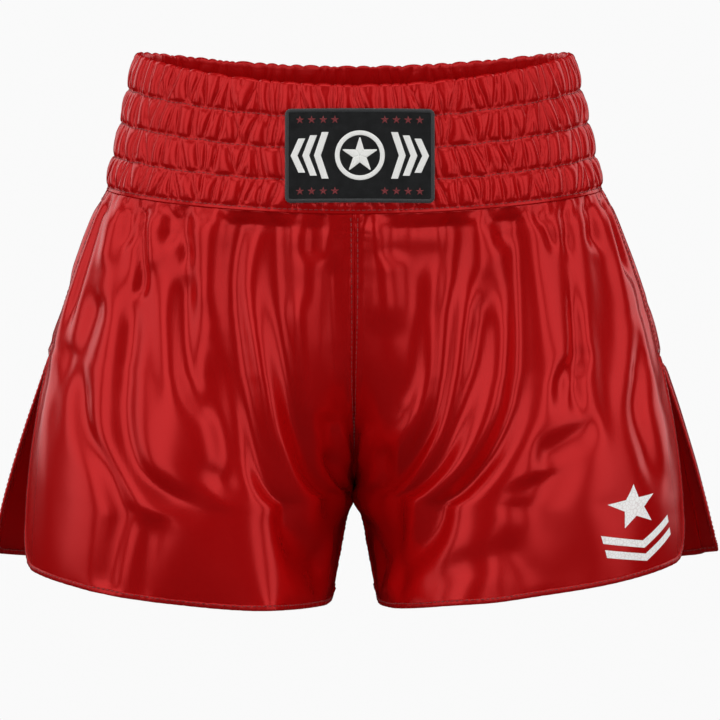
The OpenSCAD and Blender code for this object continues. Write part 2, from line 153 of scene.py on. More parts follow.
def catmull(f):
    return (
        (-f + 2 * f * f - f ** 3) / 2,
        (2 - 5 * f * f + 3 * f ** 3) / 2,
        (f + 4 * f * f - 3 * f ** 3) / 2,
        (f ** 3 - f * f) / 2,
    )


# ---- Meshes ----
def grid_faces(ids, flip=False):
    """Quads over a grid of vertex numbers."""
    quads = np.stack([ids[:-1, :-1], ids[1:, :-1], ids[1:, 1:], ids[:-1, 1:]], -1).reshape(-1, 4)
    return (quads[:, ::-1] if flip else quads).tolist()


def sheet(points, flip=False):
    ids = np.arange(points.shape[0] * points.shape[1]).reshape(points.shape[:2])
    return points.reshape(-1, 3), grid_faces(ids, flip)


def sweep(rings, closed=False):
    """A solid through closed outlines, rings[along, around]. closed joins the last to the first."""
    count, sides = rings.shape[:2]
    ids = np.arange(count * sides).reshape(count, sides)
    around = np.concatenate([ids, ids[:, :1]], 1)
    if closed:
        around = np.concatenate([around, around[:1]], 0)
    faces = grid_faces(around)
    if not closed:
        faces += [ids[0].tolist(), ids[-1][::-1].tolist()]
    return rings.reshape(-1, 3), faces


def merge(parts):
    verts, faces, start = [], [], 0
    for v, f in parts:
        verts.append(v)
        faces += [[i + start for i in face] for face in f]
        start += len(v)
    return np.concatenate(verts), faces


def face_outwards(mesh):
    edit = bmesh.new()
    edit.from_mesh(mesh)
    bmesh.ops.recalc_face_normals(edit, faces=edit.faces)
    edit.to_mesh(mesh)
    edit.free()


def piece(name, shape, material, body=None, stands_for=()):
    """A named piece of the object. Without a body it is left free."""
    verts, faces = shape
    mesh = bpy.data.meshes.new(name)
    mesh.from_pydata(np.asarray(verts).tolist(), [], faces)
    face_outwards(mesh)
    mesh.polygons.foreach_set("use_smooth", [True] * len(mesh.polygons))
    mesh.materials.append(material)
    mesh.update()
    obj = bpy.data.objects.new(name, mesh)
    bpy.context.scene.collection.objects.link(obj)
    if body:
        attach(obj, body)
    if stands_for:
        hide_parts(*stands_for)
    return obj


def along(points):
    """Distance of each point from the first, along the line."""
    return np.concatenate([[0], np.cumsum(np.linalg.norm(np.diff(points, axis=0), axis=1))])


def at_distance(distance, s, values):
    return np.stack([np.interp(s, distance, values[:, k]) for k in range(values.shape[1])], -1)


STITCH = 2.7 * MM
STITCH_GAP = 0.7 * MM
THREAD_R = 0.27 * MM
STITCH_SIDES = 6


def stitches(points, normals, length=STITCH, gap=STITCH_GAP, radius=THREAD_R, proud=0.8):
    """Short lengths of thread along a line, each with its ends pulled into the cloth."""
    distance = along(points)
    count = max(int((distance[-1] + gap) / (length + gap)), 1)
    first = np.arange(count) * (length + gap)
    share = np.array([0, 0.14, 0.5, 0.86, 1.0])
    thick = np.array([0.35, 0.9, 1.0, 0.9, 0.35])
    lift = np.array([-1.0, 0.4, 1.0, 0.4, -1.0]) * proud
    s = first[:, None] + share * length
    centre = at_distance(distance, s.ravel(), points).reshape(count, len(share), 3)
    normal = unit(at_distance(distance, s.ravel(), normals)).reshape(count, len(share), 3)
    tangent = unit(centre[:, -1:] - centre[:, :1])
    across = unit(np.cross(tangent, normal))
    centre = centre + normal * (lift * radius)[None, :, None]
    turn = np.arange(STITCH_SIDES) * 2 * np.pi / STITCH_SIDES
    ring = (
        centre[:, :, None]
        + across[:, :, None] * (np.cos(turn)[:, None] * radius) * thick[None, :, None, None]
        + normal[:, :, None] * (np.sin(turn)[:, None] * radius) * thick[None, :, None, None]
    )
    return merge([sweep(r) for r in ring])


# ---- The legs' smooth surface ----
def drop_share(z):
    return np.clip((Z_SEAM - z) / LEG_LENGTH, 0, 1)


def slit_share(z):
    return np.clip((Z_SLIT - z) / (Z_SLIT - Z_CORNER), 0, 1)


def half_w(z, side):
    width = mix(SEAM_HALF_W, HEM_HALF_W, np.sin(np.pi / 2 * drop_share(z) ** 0.9))
    flare = BACK_FLARE * slit_share(z) ** 1.25 if side == BACK else 0
    return width + flare


def parting(z):
    """0 where the legs are one tube at the waist, 1 where they are two, from the crotch down."""
    t = np.clip(1 - (z - Z_CROTCH) / (Z_SEAM - Z_CROTCH), 0, 1)
    return t ** 3 * (4 - 3 * t)


def below_crotch(z):
    return np.clip((Z_CROTCH - z) / (Z_CROTCH - Z_CORNER), 0, 1)


def inner_x(z):
    return LEG_GAP / 2 * below_crotch(z) ** 0.75


def leg_section(z, side):
    """Centre, half-width and half-depth of a leg's oval at height z."""
    w = half_w(z, side)
    share = parting(z)
    cx = np.where(z >= Z_CROTCH, share * w / (1 + share), (w + inner_x(z)) / 2)
    down = drop_share(z)
    full = (
        THIGH_FULLNESS * np.sin(np.pi * down)
        if side == FRONT
        else SEAT_FULLNESS * np.sin(np.pi * down ** 0.8)
    )
    return cx, w - cx, SEAM_HALF_D + full


def leg_point(u, z, out, side):
    """A point on a left panel. u: 0 at the inner edge, 1 at the side. z: its height at the side seam."""
    u, z = np.broadcast_arrays(np.asarray(u, float), np.asarray(z, float))
    cx, a, b = leg_section(z, side)
    gap = np.where(z < Z_SLIT, mix(SLIT_HALF_TOP, SLIT_HALF_HEM, slit_share(z)), 0)
    first = np.arcsin(gap / b)
    last = np.arccos(np.clip((inner_x(z) - cx) / a, -1, 1))
    phi = mix(last, first, u)
    nx, ny = np.cos(phi) / a, np.sin(phi) / b
    size = np.hypot(nx, ny)
    dip = mix(SEAM_DIP, HEM_DIP, drop_share(z)) * np.sin(phi) ** 2
    dip = dip + INSEAM_DIP * below_crotch(z) * (1 - np.cos(phi)) / 2
    x = cx + a * np.cos(phi) + out * nx / size
    y = -side * (b * np.sin(phi) + out * ny / size)
    return np.stack([x, y, z - dip], -1)


# ---- Leg cloth: pinned at the waist seam, hung over an unseen form ----
COLS, ROWS = 60, 48
GRID_U, GRID_V = np.meshgrid(np.linspace(0, 1, COLS), np.linspace(0, 1, ROWS))
GRID_Z = mix(Z_SEAM, Z_CORNER, GRID_V)
PUFF = 4 * MM             # how far the gathers stand out under the waist seam
SLACK = 1.03              # the cloth's own size, against the shape it hangs in
SIM_FRAMES = 24
EDGE_HOLD = 0.9           # how closely the free edges keep to the outline
SOFT_PASSES = 6           # how far small wrinkles are evened out
HEM_DROP = {(RIGHT, FRONT): 5.5 * MM}  # this panel's hem hangs a little lower

# Folds on a panel: half-width and depth in mm, then the (u, v) points that the fold runs through.
# u is 0 at the inner edge and 1 at the side, v is 0 at the waist seam and 1 at the hem. Ridges have a negative depth.
RIGHT_FRONT_FOLDS = [
    (4, 5, [(0.63, 0), (0.57, 0.18), (0.57, 0.27)]),
    (8, 6, [(0.62, 0.2), (0.58, 0.36), (0.6, 0.55), (0.59, 0.7), (0.53, 0.77), (0.45, 0.76)]),
    (8, 6, [(0.47, 0.77), (0.38, 0.68), (0.35, 0.5), (0.36, 0.25)]),
    (7, 6, [(0.43, 0.15), (0.42, 0.38), (0.4, 0.58)]),
    (4, 4, [(0.48, 0), (0.42, 0.18)]),
    (9, 9, [(0.29, 0), (0.31, 0.18), (0.29, 0.4), (0.29, 0.57), (0.33, 0.76), (0.3, 0.87), (0.18, 0.93)]),
    (10, 8, [(0.2, 0.02), (0.18, 0.24), (0.16, 0.43), (0.18, 0.62), (0.19, 0.78), (0.11, 0.87)]),
    (6, -3, [(0.25, 0.15), (0.23, 0.43), (0.24, 0.65), (0.25, 0.82), (0.14, 0.91)]),
    (5, -3, [(0.14, 0.2), (0.13, 0.43), (0.14, 0.65)]),
    (5, 4, [(0.1, 0.0), (0.1, 0.14)]),
    (6, 3, [(0.05, 0.1), (0.045, 0.3), (0.05, 0.5)]),
    (8, 4, [(0.08, 0.55), (0.12, 0.76)]),
    (8, 5, [(0.75, 0.42), (0.71, 0.61), (0.66, 0.74), (0.69, 0.97)]),
    (9, 5, [(0.6, 0.8), (0.62, 1)]),
    (10, 5, [(0.7, 0.24), (0.76, 0.41), (0.85, 0.47)]),
    (6, 4, [(0.69, 0), (0.63, 0.13)]),
    (6, 4, [(0.52, 0), (0.49, 0.12)]),
    (8, -3, [(0.74, 0), (0.72, 0.2)]),
    (8, -3, [(0.57, 0), (0.53, 0.2)]),
    (9, -3, [(0.38, 0), (0.37, 0.3)]),
    (6, 5, [(0.86, 0), (0.85, 0.2), (0.87, 0.4)]),
    (5, 5, [(0.09, 0.66), (0.115, 0.73), (0.105, 0.79), (0.05, 0.83)]),
    (6, -3, [(0.045, 0.6), (0.05, 0.74)]),
]
LEFT_FRONT_FOLDS = [
    (6, 4, [(0.1, 0), (0.09, 0.15)]),
    (13, 7, [(0.17, 0.02), (0.15, 0.3), (0.15, 0.45), (0.11, 0.66)]),
    (8, 8, [(0.26, 0), (0.25, 0.16), (0.22, 0.3), (0.22, 0.5), (0.21, 0.7), (0.18, 0.83), (0.1, 0.88)]),
    (8, 8, [(0.32, 0.12), (0.3, 0.34), (0.28, 0.55), (0.28, 0.74), (0.22, 0.88), (0.12, 0.93)]),
    (8, 8, [(0.43, 0), (0.42, 0.2), (0.41, 0.4), (0.4, 0.66), (0.36, 0.84), (0.24, 0.94)]),
    (5, 5, [(0.58, 0.18), (0.56, 0.4), (0.52, 0.46), (0.53, 0.58)]),
    (4, 4, [(0.6, 0.38), (0.56, 0.47), (0.58, 0.58)]),
    (9, 4, [(0.49, 0.68), (0.57, 0.63), (0.65, 0.59)]),
    (8, 6, [(0.84, 0.36), (0.76, 0.55), (0.79, 0.68), (0.87, 0.82)]),
    (14, 5, [(0.52, 0.7), (0.55, 0.82), (0.53, 0.92)]),
    (6, 3, [(0.28, 0.96), (0.44, 0.92), (0.56, 0.88)]),
    (6, 4, [(0.36, 0), (0.39, 0.12)]),
    (6, 5, [(0.76, 0), (0.7, 0.15)]),
    (4, 3, [(0.5, 0), (0.55, 0.14)]),
    (4, 3, [(0.63, 0), (0.58, 0.16)]),
    (12, -4, [(0.06, 0), (0.08, 0.35)]),
    (6, -3, [(0.195, 0.1), (0.185, 0.5), (0.17, 0.7)]),
    (6, -3, [(0.275, 0.15), (0.255, 0.5), (0.25, 0.76)]),
    (8, -3, [(0.36, 0.2), (0.35, 0.6), (0.31, 0.84)]),
    (6, 5, [(0.88, 0), (0.86, 0.25)]),
    (5, 5, [(0.11, 0.65), (0.155, 0.72), (0.16, 0.78), (0.11, 0.84)]),
    (6, -3, [(0.05, 0.6), (0.06, 0.74)]),
]


def back_folds(seed):
    """Uneven folds for a back panel, which run straighter than the front's."""
    rng = np.random.default_rng(seed)
    folds, u = [], rng.uniform(0.1, 0.14)
    while u < 0.92:
        drift = rng.uniform(-0.05, 0.02)
        end = rng.choice([0.45, 0.75, 1.0])
        path = [(u, 0), (u + drift / 2, end * 0.4), (u + drift, end * 0.8), (u + 1.8 * drift, end)]
        folds.append((rng.uniform(6, 11), rng.uniform(6, 10), path))
        if rng.random() < 0.5:
            folds.append((7, -3, [(u + 0.045, 0), (u + 0.045 + drift / 2, 0.3)]))
        u += rng.uniform(0.075, 0.12)
    return folds


FOLDS = {
    (LEFT, FRONT): LEFT_FRONT_FOLDS,
    (RIGHT, FRONT): RIGHT_FRONT_FOLDS,
    (LEFT, BACK): back_folds(11),
    (RIGHT, BACK): back_folds(23),
}
FOLD_STEPS = 90
FOLD_SPREAD = 1.2
FOLD_DEPTH = 0.95


def fold_relief(folds, width):
    """How far the folds lift a panel at each point of its grid, where width is each row's length."""
    lift = np.zeros(GRID_U.shape)
    for half_width, depth, path in folds:
        line = spline(path, FOLD_STEPS)
        du = (GRID_U[..., None] - line[:, 0]) * width[:, None, None]
        dv = (GRID_V[..., None] - line[:, 1]) * LEG_LENGTH
        near = du ** 2 + dv ** 2
        share = near.argmin(-1) / (FOLD_STEPS - 1)
        fade_in = smooth(share / 0.2) if path[0][1] > 0.05 else 1
        fade_out = smooth((1 - share) / 0.3) if path[-1][1] < 0.9 else 1
        spread = half_width * FOLD_SPREAD * MM
        lift -= depth * FOLD_DEPTH * MM * np.exp(-near.min(-1) / spread ** 2) * fade_in * fade_out
    return lift


def panel_start(leg, side):
    """A panel's smooth grid and the same grid with its folds, before it hangs."""
    base = leg_point(GRID_U, GRID_Z, 0, side)
    width = np.linalg.norm(np.diff(base, axis=1), axis=2).sum(1)
    inner = np.where(GRID_Z < Z_CROTCH, 1, smooth(GRID_U / 0.05))
    outer = np.where(GRID_Z < Z_SLIT, 1, smooth((1 - GRID_U) / 0.05))
    lift = fold_relief(FOLDS[leg, side], width) * inner * outer * smooth(GRID_V / 0.05)
    puff = PUFF * smooth(GRID_V / 0.08) * smooth(GRID_U / 0.16) * smooth((1 - GRID_U) / 0.16)
    folded = leg_point(GRID_U, GRID_Z, puff + lift, side)
    folded[:, 0] = base[:, 0]
    sewn = GRID_Z[:, -1] >= Z_SLIT
    folded[sewn, -1] = base[sewn, -1]
    for points in (base, folded):
        points[..., 0] *= leg
    return base, folded


def legs_mesh():
    """One mesh of the four panels, sewn where their edges meet, and each panel's vertex numbers."""
    numbers, ids, verts, faces = {}, {}, [], []
    for leg, side in PANELS:
        base, folded = panel_start(leg, side)
        panel = np.zeros(GRID_U.shape, int)
        for at in np.ndindex(panel.shape):
            key = tuple(np.round(base[at] / (0.02 * MM)).astype(int))
            if key not in numbers:
                numbers[key] = len(verts)
                verts.append(folded[at])
            panel[at] = numbers[key]
        ids[leg, side] = panel
        faces += [f for f in grid_faces(panel, flip=leg * side < 0) if len(set(f)) == 4]
    return np.array(verts), faces, ids


def body_form():
    """The unseen form inside the shorts: it stands a little inside the cloth and closes the slits."""
    parts = []
    u = np.linspace(0, 1, 40)
    z = np.linspace(Z_SEAM + 30 * MM, Z_CORNER - 30 * MM, 44)
    at_u, at_z = np.meshgrid(u, z)
    on_leg = np.clip(at_z, Z_CORNER, Z_SEAM)
    for leg, side in PANELS:
        points = leg_point(at_u, on_leg, -mix(15, 6, at_u ** 2) * MM, side)
        points[..., 2] += at_z - on_leg
        points[:, -1, 1] = 0
        points[..., 0] *= leg
        parts.append(sheet(points, flip=leg * side < 0))
    verts, faces = merge(parts)
    mesh = bpy.data.meshes.new("form")
    mesh.from_pydata(verts.tolist(), [], faces)
    form = bpy.data.objects.new("form", mesh)
    bpy.context.scene.collection.objects.link(form)
    form.modifiers.new("collision", "COLLISION")
    form.collision.thickness_outer = 1 * MM
    form.collision.cloth_friction = 4
    return form


def set_values(target, **values):
    for name, value in values.items():
        setattr(target, name, value)


def hang(verts, faces, pinned):
    """Where the cloth comes to rest when it hangs from its pinned vertices."""
    mesh = bpy.data.meshes.new("hanging")
    mesh.from_pydata(verts.tolist(), [], faces)
    cloth = bpy.data.objects.new("hanging", mesh)
    bpy.context.scene.collection.objects.link(cloth)
    cloth.vertex_groups.new(name="pin").add(pinned, 1.0, "REPLACE")
    cloth.shape_key_add(name="hung")
    own_size = cloth.shape_key_add(name="own_size")
    own_size.data.foreach_set("co", (verts * [SLACK, SLACK, 1]).ravel())
    form = body_form()
    modifier = cloth.modifiers.new("cloth", "CLOTH")
    set_values(
        modifier.settings, quality=4, mass=0.03, tension_stiffness=40, compression_stiffness=40,
        shear_stiffness=15, bending_stiffness=0.6, tension_damping=8, compression_damping=8,
        shear_damping=8, bending_damping=0.5, air_damping=2, vertex_group_mass="pin",
        rest_shape_key=own_size,
    )
    set_values(
        modifier.collision_settings, distance_min=1 * MM, collision_quality=2, use_self_collision=False
    )
    modifier.point_cache.frame_end = SIM_FRAMES
    for step in range(1, SIM_FRAMES + 1):
        bpy.context.scene.frame_set(step)
    hung = cloth.evaluated_get(bpy.context.evaluated_depsgraph_get()).to_mesh()
    result = np.zeros(len(verts) * 3)
    hung.vertices.foreach_get("co", result)
    bpy.context.scene.frame_set(1)
    bpy.data.objects.remove(cloth)
    bpy.data.objects.remove(form)
    return result.reshape(-1, 3)


def soften(offset):
    """Evens out small wrinkles in a grid of offsets. Its borders stay as they are."""
    for _ in range(SOFT_PASSES):
        around = offset[:-2, 1:-1] + offset[2:, 1:-1] + offset[1:-1, :-2] + offset[1:-1, 2:]
        offset = offset.copy()
        offset[1:-1, 1:-1] = mix(offset[1:-1, 1:-1], around / 4, 0.5)
    return offset


def settle(leg, side, hung, sag):
    """Brings a hung panel's free edges and its hem's height back to the shorts' outline."""
    base, folded = panel_start(leg, side)
    hung = folded + soften(hung - folded) + [0, 0, sag] * smooth(GRID_V)[..., None]
    outer = (base - hung)[:, -1:] * smooth((GRID_U - 0.4) / 0.6)[..., None]
    below = smooth((GRID_V - V_CROTCH + 0.06) / 0.12) * smooth((0.4 - GRID_U) / 0.4)
    inner = (base - hung)[:, :1] * below[..., None]
    low = HEM_DROP.get((leg, side), 0) * smooth((GRID_V - V_SLIT) / (1 - V_SLIT)) * smooth((GRID_U - 0.15) / 0.4)
    return hung + EDGE_HOLD * (outer + inner) - [0, 0, 1] * low[..., None]


def hang_legs():
    verts, faces, ids = legs_mesh()
    pinned = sorted({int(k) for panel in ids.values() for k in panel[0]})
    hung = hang(verts, faces, pinned)
    hems = [numbers[-1] for numbers in ids.values()]
    sag = np.mean([(verts[hem] - hung[hem])[:, 2].mean() for hem in hems])
    return {panel: settle(*panel, hung[numbers], sag) for panel, numbers in ids.items()}


# ---- Materials ----
def node(tree, kind, inputs=(), **settings):
    """A shader node. An input is a value, or another node's output to link to."""
    made = tree.nodes.new("ShaderNode" + kind)
    set_values(made, **settings)
    for name, value in dict(inputs).items():
        if isinstance(value, bpy.types.NodeSocket):
            tree.links.new(value, made.inputs[name])
        else:
            made.inputs[name].default_value = value
    return made


def new_material(name, **finish):
    """A material, its node tree and its main shader, whose inputs are set by name."""
    material = bpy.data.materials.new(name)
    material.use_nodes = True
    tree = material.node_tree
    shader = tree.nodes["Principled BSDF"]
    for key, value in finish.items():
        shader.inputs[key.replace("_", " ").title().replace("Ior", "IOR")].default_value = value
    return material, tree, shader


def place(tree, scale):
    """Position on the object, in metres, stretched by scale."""
    coords = node(tree, "TexCoord").outputs["Object"]
    return node(tree, "Mapping", {"Vector": coords, "Scale": scale}).outputs["Vector"]


def noise(tree, scale, detail=2.0, stretch=(1, 1, 1)):
    values = {"Vector": place(tree, stretch), "Scale": scale, "Detail": detail}
    return node(tree, "TexNoise", values).outputs["Fac"]


def bands(tree, pitch, direction, distortion=0.0, turn=(0, 0, 0)):
    """Even stripes, a pitch apart, along x, y, z or the diagonal."""
    coords = node(tree, "TexCoord").outputs["Object"]
    turned = node(tree, "Mapping", {"Vector": coords, "Rotation": turn}).outputs["Vector"]
    values = {"Vector": turned, "Scale": 2 * math.pi / (20 * pitch), "Distortion": distortion}
    return node(tree, "TexWave", values, bands_direction=direction).outputs["Fac"]


def maths(tree, operation, a, b=0.0):
    made = node(tree, "Math", operation=operation)
    for k, value in enumerate((a, b)):
        if isinstance(value, bpy.types.NodeSocket):
            tree.links.new(value, made.inputs[k])
        else:
            made.inputs[k].default_value = value
    return made.outputs[0]


def between(tree, share, low, high):
    return maths(tree, "ADD", maths(tree, "MULTIPLY", share, high - low), low)


def two_tone(tree, share, dark, light):
    return node(tree, "MixRGB", {"Fac": share, "Color1": dark, "Color2": light}).outputs["Color"]


def bump(tree, shader, height, depth, strength=1.0):
    made = node(tree, "Bump", {"Height": height, "Distance": depth, "Strength": strength})
    tree.links.new(made.outputs["Normal"], shader.inputs["Normal"])


def link(tree, shader, **sockets):
    for key, socket in sockets.items():
        tree.links.new(socket, shader.inputs[key.replace("_", " ").title()])


YARN = 0.28 * MM          # pitch of the satin's yarns


def satin_material(name, dark, light, roughness):
    """Polyester satin: saturated, glossy across its floats, with a faint grain of yarns and slubs."""
    material, tree, shader = new_material(
        name, metallic=0.4, specular_ior_level=0.5, specular_tint=(1, 0.8, 0.8, 1)
    )
    cloud = noise(tree, 9, 3)
    grain = noise(tree, 1500, 2, (1, 1, 0.3))
    tone = between(tree, cloud, 0.1, 0.9)
    rough = maths(tree, "ADD", between(tree, cloud, roughness - 0.03, roughness + 0.03), between(tree, grain, -0.02, 0.02))
    link(tree, shader, base_color=two_tone(tree, tone, dark, light), roughness=rough)
    yarns = maths(tree, "ADD", maths(tree, "MULTIPLY", bands(tree, YARN, "Z", 0.6), 0.5), grain)
    bump(tree, shader, yarns, 0.02 * MM, 0.15)
    return material


def thread_material(name, dark, light, pitch, roughness=0.5):
    """Twisted thread: fine slanting plies and a soft sheen."""
    material, tree, shader = new_material(name, sheen_weight=0.25, specular_ior_level=0.4)
    ply = bands(tree, pitch, "DIAGONAL", 1.5)
    fuzz = noise(tree, 2500, 3)
    link(
        tree, shader, base_color=two_tone(tree, maths(tree, "MULTIPLY", ply, fuzz), dark, light),
        roughness=between(tree, fuzz, roughness - 0.08, roughness + 0.12),
    )
    bump(tree, shader, ply, 0.06 * MM, 0.6)
    return material


def weave_material(name, dark, light, pitch, roughness=0.75):
    """Plain weave seen close: crossing ribs, with odd lighter specks."""
    material, tree, shader = new_material(name, sheen_weight=0.03, specular_ior_level=0.2)
    warp = bands(tree, pitch, "X", 0.4)
    weft = bands(tree, pitch * 1.3, "Z", 0.4)
    over = maths(tree, "MAXIMUM", warp, weft)
    under = maths(tree, "MULTIPLY", warp, weft)
    speck = maths(tree, "POWER", noise(tree, 1400, 4), 3.0)
    mottle = maths(tree, "MULTIPLY", maths(tree, "ADD", under, speck), noise(tree, 160, 2))
    link(
        tree, shader, base_color=two_tone(tree, mottle, dark, light),
        roughness=between(tree, speck, roughness, roughness + 0.15),
    )
    bump(tree, shader, maths(tree, "ADD", over, maths(tree, "MULTIPLY", speck, 0.5)), 0.12 * MM, 0.8)
    return material


def film_material():
    """Heat-pressed film: flexible, slightly glossy, with the cloth's grain showing through and fine crazing."""
    material, tree, shader = new_material("print_white", specular_ior_level=0.45)
    grain = noise(tree, 1600, 3, (1, 1, 0.4))
    cracks = node(tree, "TexVoronoi", {"Vector": place(tree, (1, 1, 1)), "Scale": 420.0}, feature="DISTANCE_TO_EDGE")
    craze = maths(tree, "MINIMUM", maths(tree, "MULTIPLY", cracks.outputs["Distance"], 9.0), 1.0)
    tone = maths(tree, "MULTIPLY", craze, between(tree, noise(tree, 60, 2), 0.75, 1.1))
    link(
        tree, shader, base_color=two_tone(tree, tone, (0.66, 0.6, 0.59, 1), (0.84, 0.83, 0.82, 1)),
        roughness=between(tree, grain, 0.38, 0.55),
    )
    bump(tree, shader, maths(tree, "ADD", grain, maths(tree, "MULTIPLY", craze, 0.3)), 0.03 * MM, 0.5)
    return material


def ribbed_material(name, dark, light, pitch, direction, roughness):
    """Elastic or tape: even ribs one way and a fine weave the other."""
    material, tree, shader = new_material(name, sheen_weight=0.2)
    rib = bands(tree, pitch, direction, 0.5)
    grain = noise(tree, 1200, 3)
    link(
        tree, shader, base_color=two_tone(tree, maths(tree, "MULTIPLY", rib, grain), dark, light),
        roughness=between(tree, grain, roughness, roughness + 0.2),
    )
    bump(tree, shader, maths(tree, "ADD", rib, maths(tree, "MULTIPLY", grain, 0.4)), 0.08 * MM, 0.7)
    return material


def plastic_material():
    """Crimped tip: milky plastic with rubbed edges and fine scratches."""
    material, tree, shader = new_material("tip_plastic", coat_weight=0.2)
    scratches = noise(tree, 500, 5, (1, 1, 0.15))
    wear = node(tree, "NewGeometry").outputs["Pointiness"]
    rubbed = maths(tree, "GREATER_THAN", wear, 0.53)
    link(
        tree, shader, base_color=two_tone(tree, maths(tree, "MULTIPLY", rubbed, scratches), (0.6, 0.6, 0.58, 1), (0.82, 0.82, 0.8, 1)),
        roughness=between(tree, scratches, 0.25, 0.5),
    )
    bump(tree, shader, scratches, 0.02 * MM, 0.4)
    return material


satin = satin_material("red_satin", (0.45, 0.0012, 0.0018, 1), (0.5, 0.002, 0.003, 1), 0.25)
binding_satin = satin_material("binding_satin", (0.41, 0.0012, 0.0018, 1), (0.46, 0.002, 0.003, 1), 0.34)
thread = thread_material("red_thread", (0.16, 0.002, 0.003, 1), (0.36, 0.008, 0.010, 1), 0.25 * MM)
border_thread = thread_material("border_thread", (0.012, 0.013, 0.014, 1), (0.06, 0.062, 0.066, 1), 0.3 * MM)
white_thread = thread_material("white_embroidery", (0.62, 0.62, 0.6, 1), (0.9, 0.9, 0.88, 1), 0.3 * MM)
red_embroidery = thread_material("red_embroidery", (0.12, 0.006, 0.009, 1), (0.3, 0.016, 0.022, 1), 0.3 * MM)
black_weave = weave_material("black_weave", (0.003, 0.0033, 0.0036, 1), (0.03, 0.031, 0.033, 1), 0.55 * MM)
print_white = film_material()
cord_white = thread_material("cord_white", (0.5, 0.5, 0.47, 1), (0.84, 0.84, 0.8, 1), 0.4 * MM, 0.65)
tip_plastic = plastic_material()
label_white = ribbed_material("label_white", (0.62, 0.62, 0.6, 1), (0.88, 0.88, 0.86, 1), 0.35 * MM, "X", 0.45)
elastic_web = ribbed_material("elastic_web", (0.5, 0.49, 0.45, 1), (0.8, 0.79, 0.74, 1), 0.9 * MM, "Z", 0.6)


cloth = hang_legs()
row_width = {panel: np.linalg.norm(np.diff(grid, axis=1), axis=2).sum(1) for panel, grid in cloth.items()}


# ---- The hung cloth as a smooth surface ----
def sample(grid, u, v):
    """A smooth point of a panel's grid at each u, v."""
    rows, cols = grid.shape[:2]
    padded = np.pad(grid, ((1, 1), (1, 1), (0, 0)), mode="reflect", reflect_type="odd")
    x, y = np.clip(u, 0, 1) * (cols - 1), np.clip(v, 0, 1) * (rows - 1)
    i = np.minimum(y.astype(int), rows - 2)
    j = np.minimum(x.astype(int), cols - 2)
    across, down = catmull(x - j), catmull(y - i)
    return sum(
        (down[a] * across[b])[..., None] * padded[i + a, j + b] for a in range(4) for b in range(4)
    )


def width_at(panel, v):
    return np.interp(v, np.linspace(0, 1, ROWS), row_width[panel])


INSEAM_LIFT = 5 * MM
INSEAM_REACH = 16 * MM


def hem_v(panel, u):
    """v of the hem at column u: level, rounded up into the slit's edge and lifted a little at the inseam."""
    width = width_at(panel, 1.0)
    s = np.clip(CORNER_R - (1 - u) * width, 0, CORNER_R)
    lift = INSEAM_LIFT * np.clip(1 - u * width / INSEAM_REACH, 0, 1) ** 2
    return 1 - (CORNER_R - np.sqrt(CORNER_R ** 2 - s ** 2) + lift) / LEG_LENGTH


def seam_relief(distance, s, seed):
    """Cloth beside a seam: a soft ridge, and puckers drawn in by the stitches."""
    ridge = np.exp(-(((distance - 3 * MM) / (1.9 * MM)) ** 2)) * (0.6 + 0.25 * ripple(s, 16 * MM, seed))
    gathers = ripple(s, 6 * MM, seed + 1) * np.exp(-distance / (6 * MM)) * (1 - np.exp(-distance / MM))
    return (ridge + 0.35 * gathers) * MM


def fine_relief(panel, u, v):
    """The small shapes that stitching gives the cloth beside its seams."""
    seed = 40 + 10 * PANELS.index(panel)
    width = width_at(panel, v)
    down = v * LEG_LENGTH
    inner = seam_relief(u * width, down, seed)
    side = 0.5 * seam_relief((1 - u) * width, down, seed + 2) * smooth((V_SLIT - v) / 0.04)
    pleats = ripple(u * width, 13 * MM, seed + 4) * np.exp(-down / (15 * MM)) * (1 - np.exp(-down / MM))
    to_hem = (hem_v(panel, u) - v) * LEG_LENGTH
    hem = ripple(u * width, 7 * MM, seed + 6) * np.exp(-np.maximum(to_hem, 0) / (4 * MM))
    return inner + side + (0.8 * pleats + 0.2 * hem) * MM


def cloth_frame(panel, u, v):
    """The panel's point and outward normal at each u, v."""
    u, v = np.broadcast_arrays(np.asarray(u, float), np.asarray(v, float))
    leg, side = panel
    step = 0.006
    grid = cloth[panel]
    du = sample(grid, np.minimum(u + step, 1), v) - sample(grid, np.maximum(u - step, 0), v)
    dv = sample(grid, u, np.minimum(v + step, 1)) - sample(grid, u, np.maximum(v - step, 0))
    normal = unit(np.cross(du, dv)) * (-leg * side)
    return sample(grid, u, v) + normal * fine_relief(panel, u, v)[..., None], normal


def on_cloth(panel, u, v, out):
    point, normal = cloth_frame(panel, u, v)
    return point + normal * np.asarray(out)[..., None]


def follow_flap(obj):
    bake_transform(obj)


# ---- Leg panels ----
PANEL_U = np.concatenate([np.linspace(0, 0.08, 22), np.linspace(0.08, 0.86, 84)[1:]])
CORNER_STEPS = 16
PANEL_T = np.concatenate([np.linspace(0, 0.08, 16), np.linspace(0.08, 0.94, 74)[1:], np.linspace(0.94, 1, 10)[1:]])
SQUEEZE_FROM = 0.5        # below this share of the length, rows crowd up round the rounded corner
SATIN_T = 0.5 * MM


def panel_columns(panel):
    """Columns that crowd together towards the rounded corner."""
    corner = CORNER_R / width_at(panel, 1.0)
    turn = np.linspace(0, np.pi / 2, CORNER_STEPS)
    level = np.linspace(PANEL_U[-1], 1 - corner, 6)[1:-1]
    return np.concatenate([PANEL_U, level, 1 - corner * (1 - np.sin(turn))])


def rows_to_hem(panel, u, t):
    low = (np.clip(t, SQUEEZE_FROM, 1) - SQUEEZE_FROM) / (1 - SQUEEZE_FROM)
    return np.minimum(t, SQUEEZE_FROM) + low * (hem_v(panel, u) - SQUEEZE_FROM)


